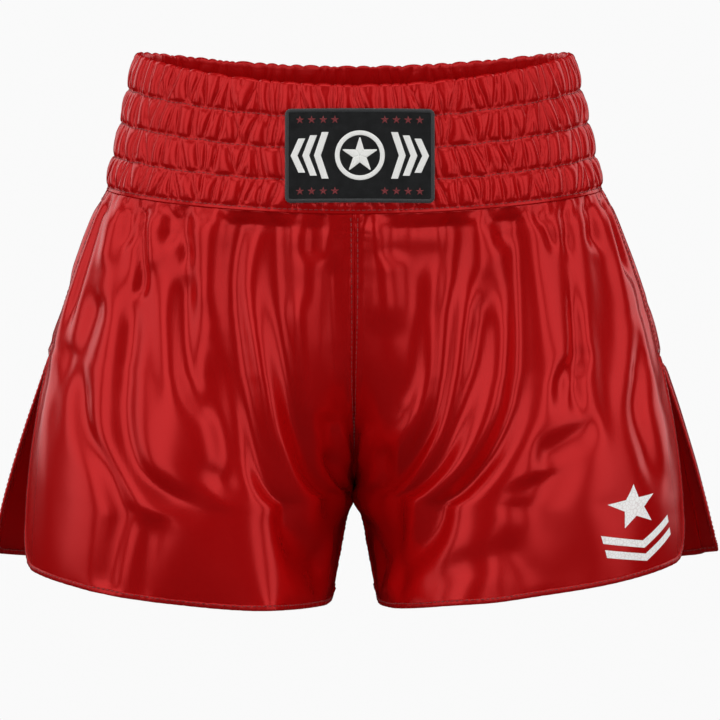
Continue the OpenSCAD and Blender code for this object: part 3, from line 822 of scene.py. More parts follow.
def panel_cloth(panel):
    leg, side = panel
    u, t = np.meshgrid(panel_columns(panel), PANEL_T)
    points, _ = cloth_frame(panel, u, rows_to_hem(panel, u, t))
    name = f"{LEG_NAME[leg]}_{SIDE_NAME[side]}"
    obj = piece(
        f"{name}_cloth", sheet(points), satin,
        stands_for=(f"{name}_panel", f"{name}_flap"),
    )
    thicken = obj.modifiers.new("thickness", "SOLIDIFY")
    set_values(thicken, thickness=SATIN_T, offset=0)
    follow_flap(obj)


# ---- Binding: satin tape folded over the hem, the rounded corner and the slit's edge ----
BINDING_W = 3.2 * MM
# Half of the folded tape's outline: how far it reaches in from the edge, and how far out from the cloth
BINDING_HALF = [(1.0, 0.4), (0.85, 0.8), (0.4, 0.95), (0.0, 0.8), (-0.18, 0.35)]
EDGE_STEP = 1 * MM


def edge_line(panel):
    """u and v along the hem from the inseam, round the corner and up the slit, about a step apart."""
    hem_u = np.concatenate([np.linspace(0, 0.86, 300), panel_columns(panel)[len(PANEL_U) + 3:]])
    hem_u = np.unique(hem_u)
    up = np.linspace(hem_v(panel, np.array(1.0)), V_SLIT + 0.004, 110)[1:]
    u = np.concatenate([hem_u, np.ones(len(up))])
    v = np.concatenate([hem_v(panel, hem_u), up])
    distance = along(cloth_frame(panel, u, v)[0])
    s = np.arange(0, distance[-1], EDGE_STEP)
    return np.interp(s, distance, u), np.interp(s, distance, v)


def edge_frame(panel):
    """Points along a panel's free edge, with the outward normal and the direction into the cloth."""
    point, normal = cloth_frame(panel, *edge_line(panel))
    tangent = unit(np.gradient(point, axis=0))
    inward = unit(np.cross(tangent, normal)) * (-panel[0] * panel[1])
    return point, normal, inward


def edge_binding(panel):
    leg, side = panel
    point, normal, inward = edge_frame(panel)
    s = along(point)
    seed = 200 + PANELS.index(panel)
    swell = 1 + 0.16 * ripple(s, 5 * MM, seed)
    width = BINDING_W * (1 + 0.05 * ripple(s, 12 * MM, seed + 9))
    outline = BINDING_HALF + [(a, -b) for a, b in BINDING_HALF[::-1]]
    rings = np.stack(
        [
            point + inward * (a * width)[:, None] + normal * (b * MM * swell)[:, None]
            for a, b in outline
        ],
        1,
    )
    name = f"{LEG_NAME[leg]}_{SIDE_NAME[side]}"
    obj = piece(
        f"{name}_binding", sweep(rings), binding_satin,
        stands_for=(f"{name}_hem_binding", f"{name}_slit_binding"),
    )
    follow_flap(obj)
    rows = [
        stitches(point + inward * 0.78 * BINDING_W + normal * face * 0.85 * MM, normal * face)
        for face in (1, -1)
    ]
    obj = piece(f"{name}_binding_stitches", merge(rows), thread)
    follow_flap(obj)


# ---- Waistband: one strip of satin folded over at the rim and drawn in by four elastics ----
CHANNELS = 4
BAND_H = -Z_SEAM
LIP = 2 * MM              # flat edge of the waistband below its last row of stitching
STITCH_OUT = 0.3 * MM     # the outer satin at a row of stitching
STITCH_IN = -1.6 * MM     # and the inner satin
PUFF_OUT = 3.0 * MM       # how far the satin puffs out between two rows of stitching
PUFF_IN = -1.8 * MM
PLEAT_GAP = 8 * MM        # usual distance between two pleats
PLEAT_LEAN = 9 * MM       # how far a pleat may lean between two rows of stitching
AROUND = 1300
CHANNEL_ROWS = 13
LINING_ROWS = 7


def band_point(angle, t, out):
    """Waistband: angle is 0 at the wearer's left side and a quarter turn at the front, t is 0 at the rim and 1 at the seam."""
    angle, t = np.broadcast_arrays(np.asarray(angle, float), np.asarray(t, float))
    w, d = mix(RIM_HALF_W, SEAM_HALF_W, t), mix(RIM_HALF_D, SEAM_HALF_D, t)
    nx, ny = np.cos(angle) / w, -np.sin(angle) / d
    size = np.hypot(nx, ny)
    z = -BAND_H * t - mix(RIM_DIP, SEAM_DIP, t) * np.sin(angle) ** 2
    return np.stack([w * np.cos(angle) + out * nx / size, -d * np.sin(angle) + out * ny / size, z], -1)


BAND_ANGLE = np.arange(AROUND) * 2 * np.pi / AROUND
band_line = band_point(np.append(BAND_ANGLE, 2 * np.pi), 0.5, 0)
BAND_S = along(band_line)
BAND_LENGTH = BAND_S[-1]
BAND_S = BAND_S[:-1]
STITCH_T = np.append(np.arange(CHANNELS) / CHANNELS, 1 - LIP / BAND_H)


def line_t(row):
    """Height of a row of stitching all round: sewn a little unevenly."""
    wander = 0.5 * MM * ripple(BAND_S, BAND_LENGTH / 31, 300 + row) if 0 < row < CHANNELS else 0
    return STITCH_T[row] + wander / BAND_H + 0 * BAND_S


def pleats(f, seed):
    """Height of the pleats at share f of a channel, all round: 0 in a pleat's groove, about 1 on its crest."""
    rng = np.random.default_rng(seed)
    count = int(BAND_LENGTH / PLEAT_GAP)
    place = (np.arange(count) + rng.uniform(-0.42, 0.42, count)) * BAND_LENGTH / count
    lean = rng.uniform(-1, 1, count) * PLEAT_LEAN
    bow = rng.uniform(-1, 1, count) * 1.2 * MM
    groove = place + lean * (f - 0.5) + bow * np.sin(np.pi * f)
    groove = np.sort(np.mod(groove, BAND_LENGTH))
    groove = np.concatenate([[groove[-1] - BAND_LENGTH], groove, [groove[0] + BAND_LENGTH]])
    k = np.searchsorted(groove, BAND_S)
    gap = groove[k] - groove[k - 1]
    share = (BAND_S - groove[k - 1]) / gap
    tall = np.clip(gap / (1.15 * PLEAT_GAP), 0, 1) ** 0.8
    return np.maximum(4 * share * (1 - share), 0) ** 0.7 * tall


def creases(f, seed):
    """Small creases that run only part of the way up or down a channel."""
    rng = np.random.default_rng(seed)
    count = int(BAND_LENGTH / (0.42 * PLEAT_GAP))
    place = rng.uniform(0, BAND_LENGTH, count)
    lean = rng.uniform(-1, 1, count) * 5 * MM
    start = rng.choice([0, 1], count)
    reach = rng.uniform(0.25, 0.8, count)
    half_width = rng.uniform(0.8, 1.7, count) * MM
    depth = smooth(1 - np.abs(f - start) / reach) * rng.uniform(0.4, 1, count)
    away = BAND_S[:, None] - (place + lean * np.abs(f - start))
    away = np.mod(away + BAND_LENGTH / 2, BAND_LENGTH) - BAND_LENGTH / 2
    return (np.exp(-((away / half_width) ** 2)) * depth).sum(1)


def satin_out(f, channel):
    """How far out the outer satin is at share f of a channel, all round."""
    arch = np.sin(np.pi * np.clip(f, 0, 1)) ** 0.45
    if channel == 0:
        arch = max(arch, 0.5 * (1 - f)) if f < 0.5 else arch
    relief = 0.22 + 0.78 * pleats(f, 310 + channel) - 0.34 * creases(f, 330 + channel)
    return STITCH_OUT + (0.15 * MM + PUFF_OUT * arch) * np.maximum(relief, 0.1)


def lining_out(f, channel):
    arch = np.sin(np.pi * np.clip(f, 0, 1)) ** 0.5
    return STITCH_IN + PUFF_IN * arch * (0.72 + 0.45 * pleats(f, 350 + channel))


def waistband():
    """The outer satin from its seam up, the fold at the rim, and the inner satin down again."""
    columns = []
    lip_t = line_t(CHANNELS) + LIP / BAND_H
    columns.append(band_point(BAND_ANGLE, lip_t + 0.6 * MM / BAND_H, 0.75 * MM))
    columns.append(band_point(BAND_ANGLE, lip_t - 0.3 * MM / BAND_H, 1.0 * MM))
    rows = np.linspace(0, 1, CHANNEL_ROWS)
    for channel in reversed(range(CHANNELS)):
        low = rows[::-1] if channel == CHANNELS - 1 else rows[-2::-1]
        if channel == 0:
            low = low[low > RIM_FROM]
        for f in low:
            t = mix(line_t(channel), line_t(channel + 1), f)
            columns.append(band_point(BAND_ANGLE, t, satin_out(f, channel)))
    columns += rim_fold()
    rows = np.linspace(0, 1, LINING_ROWS)
    for channel in range(CHANNELS):
        low = rows[rows > RIM_FROM] if channel == 0 else rows[1:]
        for f in low:
            t = mix(line_t(channel), line_t(channel + 1), f)
            columns.append(band_point(BAND_ANGLE, t, lining_out(f, channel)))
    columns.append(band_point(BAND_ANGLE, lip_t, STITCH_IN))
    rings = np.stack(columns, 1)
    return piece(
        "waistband_satin", sweep(rings, closed=True), satin, "shorts",
        stands_for=("waistband_cover",),
    )


RIM_FROM = 0.1            # share of the top channel that the fold at the rim takes
RIM_STEPS = 9
RIM_RISE = 1.6 * MM


def rim_fold():
    """Rings over the rim, from the outer satin to the inner: pleats ruffle it."""
    outer, inner = satin_out(RIM_FROM, 0), lining_out(RIM_FROM, 0)
    base_t = mix(line_t(0), line_t(1), RIM_FROM)
    rise = RIM_RISE * (0.35 + 0.9 * pleats(0.0, 310)) + RIM_FROM * BAND_H / CHANNELS
    rings = []
    for turn in np.linspace(0, np.pi, RIM_STEPS):
        out = mix(outer, inner, (1 - math.cos(turn)) / 2)
        t = base_t - rise * math.sin(turn) ** 0.8 / BAND_H
        rings.append(band_point(BAND_ANGLE, t, out))
    return rings


def band_threads():
    """Stitches along the grooves between the channels, inside and out, and along the waist seam."""
    for name, lines, stands_for in (
        ("channel_stitches", range(1, CHANNELS), "channel_stitching"),
        ("waist_seam_stitches", [CHANNELS], "waist_seam_stitching"),
    ):
        rows = []
        for line in lines:
            for out, face in ((satin_out(1.0, line - 1), 1), (lining_out(1.0, line - 1), -1)):
                path = band_point(BAND_ANGLE, line_t(line), out + face * 0.12 * MM)
                normal = face * unit(band_point(BAND_ANGLE, line_t(line), out + MM) - path)
                rows.append(stitches(np.append(path, path[:1], 0), np.append(normal, normal[:1], 0)))
        piece(name, merge(rows), thread, "shorts", stands_for=(stands_for,))


# ---- Woven patch on the front of the waistband ----
PATCH_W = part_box("patch_border")[1].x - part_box("patch_border")[0].x
PATCH_H = 60.5 * MM
PATCH_X = (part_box("patch_border")[0].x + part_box("patch_border")[1].x) / 2
PATCH_T = 1.2 * MM
PATCH_RISE = PATCH_T + 0.5 * MM
PATCH_LEAN = math.atan2(SEAM_HALF_D - RIM_HALF_D, BAND_H + SEAM_DIP - RIM_DIP)
PATCH_R = 219 * MM
BORDER_W = 2.4 * MM
PATCH_MID_Y = (
    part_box("patch_border")[0].y + PATCH_RISE * math.cos(PATCH_LEAN) + PATCH_H / 2 * math.sin(PATCH_LEAN)
)
PATCH_MID_Z = (top_of("patch_border") + bottom_of("patch_border")) / 2
RED_THREAD_PITCH = 0.45 * MM
BAND_STEPS_PER_THREAD = 4


def patch_point(x, y, lift):
    """A point over the bent patch: x to the wearer's left and y up, both from its centre."""
    depth = PATCH_R - np.sqrt((PATCH_R + lift) ** 2 - (x + PATCH_X) ** 2)
    cos, sin = math.cos(PATCH_LEAN), math.sin(PATCH_LEAN)
    mid_y, mid_z = PATCH_MID_Y + depth * cos, PATCH_MID_Z - depth * sin
    return np.stack(np.broadcast_arrays(x + PATCH_X, mid_y + y * sin, mid_z + y * cos), -1)


def patch_cloth():
    half_w, half_h = PATCH_W / 2 - BORDER_W / 2, PATCH_H / 2 - BORDER_W / 2
    x, y = np.meshgrid(np.linspace(-half_w, half_w, 120), np.linspace(-half_h, half_h, 76))
    to_edge = np.minimum(half_w - np.abs(x), half_h - np.abs(y))
    pull = np.exp(-to_edge / (4 * MM)) * (0.1 * MM + 0.06 * MM * ripple(x + y, 7 * MM, 400))
    swell = 0.05 * MM * ripple(x, 31 * MM, 401) * ripple(y, 23 * MM, 402)
    obj = piece(
        "patch_weave", sheet(patch_point(x, y, PATCH_T - pull + swell)), black_weave,
        "shorts", stands_for=("patch_base",),
    )
    thicken = obj.modifiers.new("thickness", "SOLIDIFY")
    set_values(thicken, thickness=PATCH_T - 0.2 * MM, offset=-1)


def rounded_rectangle(half_w, half_h, radius, step):
    """Points anticlockwise round a rectangle with rounded corners, a step apart, and the way out at each."""
    turn = np.linspace(0, np.pi / 2, 12)
    points = []
    for corner, (sx, sy) in enumerate(((1, 1), (-1, 1), (-1, -1), (1, -1))):
        angle = turn + corner * np.pi / 2
        centre = np.array([sx * (half_w - radius), sy * (half_h - radius)])
        points.append(centre + radius * np.stack([np.cos(angle), np.sin(angle)], -1))
    points = np.concatenate(points + [points[0][:1]])
    distance = along(points)
    s = np.linspace(0, distance[-1], int(distance[-1] / step), endpoint=False)
    line = at_distance(distance, s, points)
    tangent = unit(np.roll(line, -1, 0) - np.roll(line, 1, 0))
    return line, np.stack([tangent[:, 1], -tangent[:, 0]], -1), s


def rope_loop(half_w, half_h, radius, place, wide, tall, pitch):
    """Oversewn edge: a rope of slanting threads round a rounded rectangle, laid out by place(x, y, lift)."""
    line, out, s = rounded_rectangle(half_w, half_h, radius, pitch / 4)
    turn = np.arange(12) * 2 * np.pi / 12
    even = s[-1] / round(s[-1] / pitch)
    rope = 1 + 0.1 * np.sin(2 * np.pi * s[:, None] / even + turn)
    reach = np.cos(turn) * rope * wide
    x = line[:, :1] + out[:, :1] * reach
    y = line[:, 1:] + out[:, 1:] * reach
    return sweep(place(x, y, np.sin(turn) * rope * tall), closed=True)


def patch_edge():
    """The overlocked edge: a thick rope of slanting threads."""
    inset = BORDER_W / 2

    def place(x, y, lift):
        return patch_point(x, y, PATCH_RISE - 1 * MM + lift)

    rope = rope_loop(
        PATCH_W / 2 - inset, PATCH_H / 2 - inset, 2.5 * MM, place, inset + 0.1 * MM, 0.95 * MM, 1.15 * MM
    )
    piece("patch_overlock", rope, border_thread, "shorts", stands_for=("patch_border",))


BAND_PROFILE = [-1.0, -0.93, -0.7, -0.36, 0.0, 0.36, 0.7, 0.93, 1.0]


def thread_band(centre, across, half, closed=False, pitch=RED_THREAD_PITCH, rise=0.5 * MM):
    """Satin stitch on the patch: threads laid side by side across a band, given along its centre line."""
    centre = np.array(centre, float)
    across = np.broadcast_to(np.array(across, float), centre.shape)
    half = np.broadcast_to(np.asarray(half, float), len(centre))
    distance = along(centre)
    count = max(int(distance[-1] / pitch), 2) * BAND_STEPS_PER_THREAD
    s = np.linspace(0, distance[-1], count, endpoint=not closed)
    mid, way = at_distance(distance, s, centre), at_distance(distance, s, across)
    wide = np.interp(s, distance, half)
    number = np.arange(count) // BAND_STEPS_PER_THREAD
    wide = wide * (1 + 0.03 * np.sin(number * 2.4))
    round_top = 0.8 + 0.2 * np.abs(np.sin(np.pi * np.arange(count) / BAND_STEPS_PER_THREAD))
    q = np.array(BAND_PROFILE)
    lift = rise * np.sqrt(np.clip(1 - 0.85 * q ** 4, 0, 1)) * round_top[:, None] * np.clip(wide / (0.6 * MM), 0.3, 1)[:, None]
    x = mid[:, :1] + way[:, :1] * q * wide[:, None]
    y = mid[:, 1:] + way[:, 1:] * q * wide[:, None]
    top = patch_point(x, y, PATCH_T + lift)
    under = patch_point(x[:, ::8], y[:, ::8], PATCH_T - 0.15 * MM)[:, ::-1]
    return sweep(np.concatenate([top, under], 1), closed=closed)


STAR_NOTCH = 0.4          # a star's inner radius, as a share of its outer one


def stitched_star(x, y, radius, rise):
    """Five arms of satin stitch that meet at the middle."""
    parts = []
    notch = np.array([math.sin(math.pi / 5), math.cos(math.pi / 5)]) * STAR_NOTCH * radius
    for arm in range(5):
        angle = arm * 2 * math.pi / 5
        along_arm = np.array([math.sin(angle), math.cos(angle)])
        across = [math.cos(angle), -math.sin(angle)]
        reach = np.array([0.02 * radius, notch[1], radius])
        centre = np.array([x, y]) + along_arm * reach[:, None]
        parts.append(thread_band(centre, across, [0.02 * radius, notch[0], 0.03 * radius], rise=rise))
    return parts


RING_R = 14.5 * MM
RING_HALF = 1.5 * MM
EMBLEM_STAR_R = 11.5 * MM
CHEVRONS = 3
CHEVRON_X = 20 * MM
CHEVRON_STEP = 7.5 * MM
CHEVRON_HALF_H = 15 * MM
CHEVRON_POINT = 5 * MM
SMALL_STARS = 4
SMALL_STAR_R = 2.6 * MM


def patch_emblem():
    """A ring with a star, between two sets of chevrons, in white thread."""
    turn = np.linspace(0, 2 * np.pi, 181)
    round_ring = np.stack([np.cos(turn), np.sin(turn)], -1)
    parts = [thread_band(RING_R * round_ring, round_ring, RING_HALF, closed=True)]
    parts += stitched_star(0, 0, EMBLEM_STAR_R, 0.5 * MM)
    for way in (-1, 1):
        for k in range(CHEVRONS):
            half_h = CHEVRON_HALF_H - 2 * MM * k
            y = np.linspace(-half_h, half_h, 41)
            x = CHEVRON_X + CHEVRON_STEP * k + 2.25 * MM + CHEVRON_POINT * (1 - np.abs(y) / half_h)
            parts.append(thread_band(np.stack([way * x, way * y], -1), [way, 0], 2.2 * MM))
    piece(
        "patch_white_embroidery", merge(parts), white_thread, "shorts",
        stands_for=("patch_emblem",),
    )
    parts = []
    for row in (-1, 1):
        for way in (-1, 1):
            for k in range(SMALL_STARS):
                x = way * (16 * MM + CHEVRON_STEP * k)
                parts += stitched_star(x, row * 23 * MM, SMALL_STAR_R, 0.35 * MM)
    piece(
        "patch_red_embroidery", merge(parts), red_embroidery, "shorts",
        stands_for=("patch_stars",),
    )


# ---- Threads of the leg seams, bar tacks and gusset ----
SEAM_INSET = 1.9 * MM
ON_SATIN = SATIN_T / 2


def seam_threads():
    for name, u_from, first, last in (
        ("centre_seam_stitching", 0, 0.012, V_CROTCH * 0.95),
        ("side_seam_stitching", 1, 0.012, V_SLIT * 0.96),
        ("inseam_stitching", 0, V_CROTCH * 1.04, 0.955),
    ):
        rows = []
        for panel in PANELS:
            v = np.linspace(first, last, 300)
            u = np.abs(u_from - SEAM_INSET / width_at(panel, v))
            point, normal = cloth_frame(panel, u, v)
            rows.append(stitches(point + normal * ON_SATIN, normal, proud=0.2))
        piece(name.replace("stitching", "stitches"), merge(rows), thread, "shorts", stands_for=(name,))


BARTACK_HALF = 4.5 * MM
BARTACK_TALL = 1.1 * MM
BARTACK_V = V_SLIT - 0.012


def bartacks():
    """Dense stitches across each side seam, just above its slit."""
    parts = []
    for leg in (LEFT, RIGHT):
        line = []
        for side in (FRONT, BACK):
            reach = np.linspace(BARTACK_HALF, 0.2 * MM, 24)
            u = 1 - reach / width_at((leg, side), BARTACK_V)
            half = on_cloth((leg, side), u, BARTACK_V, 0.2 * MM)
            line.append(half if side == FRONT else half[::-1])
        line = np.concatenate(line)
        out = np.array([leg, 0, 0])
        bump = 1 + 0.35 * np.abs(np.sin(np.linspace(0, 22 * np.pi, len(line))))
        turn = np.linspace(0, 2 * np.pi, 11)[:-1]
        rings = (
            line[:, None]
            + np.cos(turn)[:, None] * np.array([0, 0, BARTACK_TALL])
            + np.sin(turn)[:, None] * out * (0.4 * MM * bump)[:, None, None]
        )
        parts.append(sweep(rings))
    piece("slit_bartack_threads", merge(parts), thread, "shorts", stands_for=("slit_bartacks",))


GUSSET_HALF = 5 * MM
GUSSET_REACH = 0.16       # how far the gusset runs up the front and the back, as a share of the leg


def gusset():
    """A narrow pointed strip under the crotch, from front to back."""
    rows = []
    v = V_CROTCH - GUSSET_REACH * np.linspace(1, 0, 28) ** 2
    half = GUSSET_HALF * np.linspace(0.08, 1, 28) ** 0.7
    for side in (FRONT, BACK):
        edges = [on_cloth((leg, side), half / width_at((leg, side), v), v, 0.5 * MM) for leg in (RIGHT, LEFT)]
        rows.append(np.stack([mix(edges[0], edges[1], share) for share in np.linspace(0, 1, 9)], 1))
    points = np.concatenate([rows[0], rows[1][-2::-1]])
    obj = piece("crotch_gusset_cloth", sheet(points), satin, "shorts", stands_for=("crotch_gusset",))
    thicken = obj.modifiers.new("thickness", "SOLIDIFY")
    set_values(thicken, thickness=SATIN_T, offset=1)


# ---- Leg print: a star over two chevrons, as thin film pressed on the wearer's left front corner ----
PRINT_TILT = math.radians(12)
PRINT_STAR_R = 15 * MM
PRINT_STAR_Y = 10 * MM
PRINT_CHEVRONS = (-18 * MM, -27 * MM)
PRINT_HALF_W = 23 * MM
FILM_T = 0.12 * MM


def print_to_cloth():
    """Turns flat print coordinates into u and v on the left front panel, true at the print's centre."""
    panel = (LEFT, FRONT)
    low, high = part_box("leg_print")
    target = np.array([(low.x + high.x) / 2, (low.z + high.z) / 2])
    u, v = np.meshgrid(np.linspace(0.5, 0.95, 46), np.linspace(0.6, 0.97, 38))
    seen = cloth_frame(panel, u, v)[0][..., [0, 2]]
    best = np.linalg.norm(seen - target, axis=-1).argmin()
    at_u, at_v = u.flat[best], v.flat[best]
    step = 0.07
    across = sample(cloth[panel], at_u + step, at_v) - sample(cloth[panel], at_u - step, at_v)
    down = sample(cloth[panel], at_u, at_v + step) - sample(cloth[panel], at_u, at_v - step)
    seen_by = np.array([[across[0], down[0]], [across[2], down[2]]]) / (2 * step)
    cos, sin = math.cos(PRINT_TILT), math.sin(PRINT_TILT)
    turned = np.linalg.inv(seen_by) @ np.array([[cos, -sin], [sin, cos]])

    def place(xy):
        moved = xy @ turned.T
        return at_u + moved[..., 0], at_v + moved[..., 1]

    return place


def film(corners, place, steps=(10, 10)):
    """A grid of film over a four-cornered outline, lying on the cloth."""
    a, b, c, d = np.array(corners, float)
    s, t = (g[..., None] for g in np.meshgrid(np.linspace(0, 1, steps[0]), np.linspace(0, 1, steps[1])))
    flat = mix(mix(a, b, s), mix(d, c, s), t)
    return sheet(on_cloth((LEFT, FRONT), *place(flat), ON_SATIN + 0.15 * MM))


def leg_print():
    place = print_to_cloth()
    parts = []
    for arm in range(5):
        def at(radius, turn):
            angle = 2 * math.pi * (arm + turn) / 5
            return [radius * math.sin(angle), PRINT_STAR_Y + radius * math.cos(angle)]
        notch = PRINT_STAR_R * 0.42
        parts.append(film([at(0, 0), at(notch, 0.5), at(PRINT_STAR_R, 0), at(notch, -0.5)], place))
    rise, thick = 10 * MM, 5 * MM
    for low in PRINT_CHEVRONS:
        for way in (-1, 1):
            far = way * PRINT_HALF_W
            arm = [[0, low], [far, low + rise], [far, low + rise + thick], [0, low + thick]]
            parts.append(film(arm, place, (26, 7)))
    obj = piece("leg_print_film", merge(parts), print_white, stands_for=("leg_print",))
    follow_flap(obj)


# ---- Drawcord ends, buttonholes and care label ----
CORD_W = 6 * MM
CORD_T = 1 * MM
BRAID_PITCH = 1.6 * MM


def cord_end(leg):
    """A flat braided end that leaves its buttonhole, turns over and hangs, with a crimped tip."""
    name = LEG_NAME[leg]
    low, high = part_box(f"{name}_cord_end")
    x = (low.x + high.x) / 2
    hang_y = high.y - CORD_T / 2
    top = high.z - CORD_T / 2
    line = spline(
        [
            (x, low.y, top), (x, low.y + 1.6 * MM, top), (x, hang_y - 0.5 * MM, top - 1.2 * MM),
            (x, hang_y, top - 4 * MM), (x + 0.8 * MM, hang_y, top - 30 * MM),
            (x - 0.8 * MM, hang_y, top - 70 * MM), (x, hang_y, low.z + 5 * MM), (x, hang_y, low.z),
        ],
        420,
    )
    tangent = unit(np.gradient(line, axis=0))
    across = np.array([1.0, 0, 0])
    normal = unit(np.cross(tangent, across))
    s = along(line)[:, None]
    turn = np.arange(20) * 2 * np.pi / 20
    braid = 1 + 0.07 * np.sin(2 * np.pi * s / BRAID_PITCH + 3 * np.abs(np.cos(turn)) * np.sign(np.sin(turn)))
    wide = np.sign(np.cos(turn)) * np.abs(np.cos(turn)) ** 0.7 * CORD_W / 2
    tall = np.sign(np.sin(turn)) * np.abs(np.sin(turn)) ** 0.7 * CORD_T / 2
    rings = (
        line[:, None] + (wide * (0.98 + 0.02 * braid))[..., None] * across + (tall * braid)[..., None] * normal[:, None]
    )
    obj = piece(f"{name}_cord_braid", sweep(rings), cord_white, stands_for=(f"{name}_cord_end",))
    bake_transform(obj)
    low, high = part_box(f"{name}_cord_tip")
    middle = (low + high) / 2
    half = (high - low) / 2
    rows = []
    for share, size in ((0, 0.55), (0.02, 0.85), (0.07, 1), (0.3, 1), (0.36, 0.82), (0.64, 0.82), (0.7, 1), (0.93, 1), (0.98, 0.9), (1, 0.7)):
        ring = np.stack([wide / (CORD_W / 2) * half.x * (0.5 + size / 2), tall / (CORD_T / 2) * half.y * size, 0 * turn], -1)
        rows.append(ring + [middle.x, middle.y, mix(low.z, high.z, share)])
    piece(
        f"{name}_cord_crimp", sweep(np.array(rows)), tip_plastic, f"{name}_cord",
        stands_for=(f"{name}_cord_tip",),
    )


def buttonholes():
    parts = []
    low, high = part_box("cord_buttonholes")
    for leg in (LEFT, RIGHT):
        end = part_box(f"{LEG_NAME[leg]}_cord_end")
        x0 = (end[0].x + end[1].x) / 2
        z0 = end[1].z - CORD_T / 2

        def place(x, y, lift):
            lean = y * math.tan(PATCH_LEAN)
            return np.stack(np.broadcast_arrays(x0 + x, high.y - 0.3 * MM + lean + lift, z0 + y), -1)

        half_w, half_h = CORD_W / 2 + 1.4 * MM, CORD_T / 2 + 1.9 * MM
        parts.append(rope_loop(half_w, half_h, 1.8 * MM, place, 0.9 * MM, 0.45 * MM, 0.7 * MM))
    piece("buttonhole_threads", merge(parts), thread, "shorts", stands_for=("cord_buttonholes",))


def label():
    """A blank tape, folded under itself, that hangs from the waist seam."""
    low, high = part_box("care_label")
    x, t = np.meshgrid(np.linspace(low.x, high.x, 22), np.linspace(0, 1, 34))
    curl = -1.6 * MM * np.sin(np.pi * t * 0.9) * t + 0.5 * MM * np.cos(x / (high.x - low.x) * 2.6) * t
    points = np.stack([x, (low.y + high.y) / 2 + curl, mix(high.z, low.z, t)], -1)
    obj = piece("care_label_tape", sheet(points), label_white, "label", stands_for=("care_label",))
    thicken = obj.modifiers.new("thickness", "SOLIDIFY")
    set_values(thicken, thickness=0.35 * MM, offset=0)
    edge = np.linspace(low.x + 1.5 * MM, high.x - 1.5 * MM, 60)
    line = np.stack([edge, 0 * edge + (low.y + high.y) / 2 - 0.25 * MM, 0 * edge + high.z - 2 * MM], -1)
    normal = np.tile([0.0, -1.0, 0.0], (len(line), 1))
    piece("care_label_stitches", stitches(line, normal), thread, "label")


# ---- Build ----
for panel in PANELS:
    panel_cloth(panel)
    edge_binding(panel)
waistband()
band_threads()
patch_cloth()
patch_edge()
patch_emblem()
seam_threads()
bartacks()
gusset()
leg_print()
for leg in (LEFT, RIGHT):
    cord_end(leg)
buttonholes()
label()


# ---- CAD nodes that stay: they lie inside the waistband ----
def finish_node(name, material):
    obj = frame["nodes"][name]
    obj.data.materials.clear()
    obj.data.materials.append(material)


for channel in range(CHANNELS):
    finish_node(f"elastic_band_{channel + 1}", elastic_web)
finish_node("drawcord", cord_white)


# ---- Stage, lights and camera ----
TARGET = Vector((3.6 * MM, 0, -198 * MM))
CAMERA_DISTANCE = 9.5
CAMERA_RISE = math.radians(4.6)
FIELD_W = 468 * MM        # width of the view at the shorts' middle
SENSOR = 36
FLOOR_Z = -0.6
PAPER = (0.955, 0.955, 0.955, 1)


def paper_material():
    """A pale sweep of paper, evenly bright to the camera and softly lit for everything else."""
    material = bpy.data.materials.new("paper")
    material.use_nodes = True
    tree = material.node_tree
    tree.nodes.clear()
    grain = noise(tree, 30, 3)
    seen = node(tree, "Emission", {"Color": two_tone(tree, grain, (0.953, 0.953, 0.953, 1), PAPER)})
    lit = node(tree, "BsdfDiffuse", {"Color": (0.4, 0.4, 0.4, 1)})
    camera_ray = node(tree, "LightPath").outputs["Is Camera Ray"]
    both = node(tree, "MixShader", {"Fac": camera_ray})
    tree.links.new(lit.outputs[0], both.inputs[1])
    tree.links.new(seen.outputs[0], both.inputs[2])
    out = node(tree, "OutputMaterial", {"Surface": both.outputs[0]})
    return material


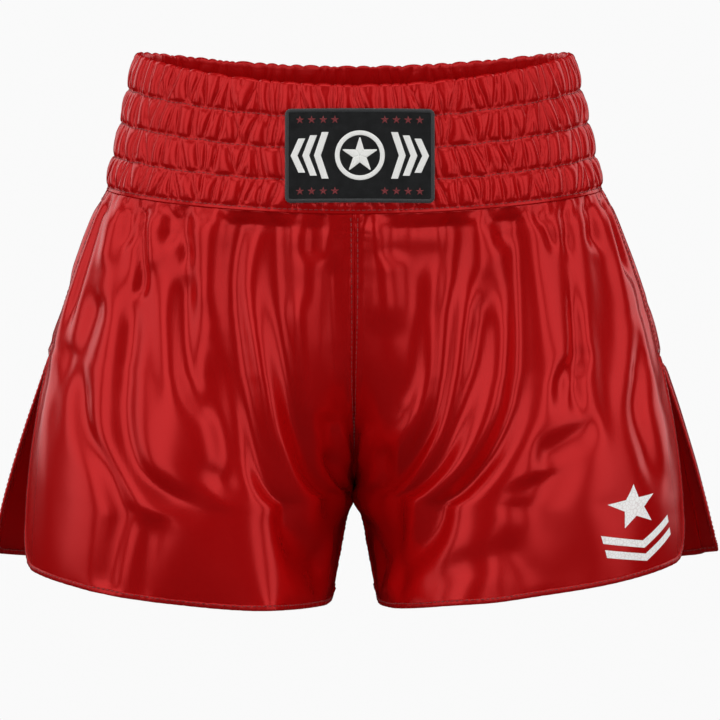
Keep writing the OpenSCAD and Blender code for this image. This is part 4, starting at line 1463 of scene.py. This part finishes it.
def sweep_floor():
    """A floor that curves up into a backdrop on every side."""
    turn = np.linspace(0, 2 * np.pi, 97)
    radii = np.array([0.01, 3.0, 14.0, 15.2, 15.9, 16.2, 16.2])
    heights = np.array([0, 0, 0, 0.24, 1.0, 2.4, 9.0]) + FLOOR_Z
    points = np.stack(
        [radii[:, None] * np.cos(turn), radii[:, None] * np.sin(turn), heights[:, None] + 0 * turn], -1
    )
    verts, faces = sheet(points)
    mesh = bpy.data.meshes.new("floor")
    mesh.from_pydata(verts.tolist(), [], faces)
    mesh.materials.append(paper_material())
    floor = bpy.data.objects.new("floor", mesh)
    bpy.context.scene.collection.objects.link(floor)
    floor.visible_glossy = False


def softbox(name, place, size, watts):
    light = bpy.data.lights.new(name, "AREA")
    set_values(light, shape="RECTANGLE", size=size[0], size_y=size[1], energy=watts)
    obj = bpy.data.objects.new(name, light)
    bpy.context.scene.collection.objects.link(obj)
    obj.location = place
    obj.rotation_euler = (TARGET - Vector(place)).to_track_quat("-Z", "Y").to_euler()


def studio():
    softbox("front_left", (-1.75, -1.9, 0.6), (1.6, 2.8), 17)
    softbox("left", (-2.5, -0.2, 0.6), (1.3, 2.8), 13)
    softbox("front_right", (1.25, -2.3, 0.6), (1.2, 2.8), 12)
    softbox("right", (2.3, -1.0, 0.6), (1.3, 2.8), 13)
    softbox("top", (0, -0.9, 2.2), (2.6, 1.2), 12)
    softbox("back_left", (-1.8, 2.0, 0.9), (1.7, 2.6), 15)
    softbox("back_right", (2.0, 1.8, 0.8), (1.6, 2.6), 14)
    world = bpy.data.worlds.new("studio")
    world.use_nodes = True
    sky = world.node_tree.nodes["Background"]
    sky.inputs["Color"].default_value = (1, 1, 1, 1)
    sky.inputs["Strength"].default_value = 1.3
    bpy.context.scene.world = world
    world.cycles_visibility.glossy = False
    bpy.context.scene.view_settings.view_transform = "Standard"


def camera():
    data = bpy.data.cameras.new("camera")
    data.sensor_width = SENSOR
    data.lens = SENSOR * CAMERA_DISTANCE / FIELD_W
    obj = bpy.data.objects.new("camera", data)
    bpy.context.scene.collection.objects.link(obj)
    away = Vector((0, -math.cos(CAMERA_RISE), math.sin(CAMERA_RISE)))
    obj.location = TARGET + away * CAMERA_DISTANCE
    obj.rotation_euler = (-away).to_track_quat("-Z", "Y").to_euler()
    bpy.context.scene.camera = obj


sweep_floor()
studio()
camera()
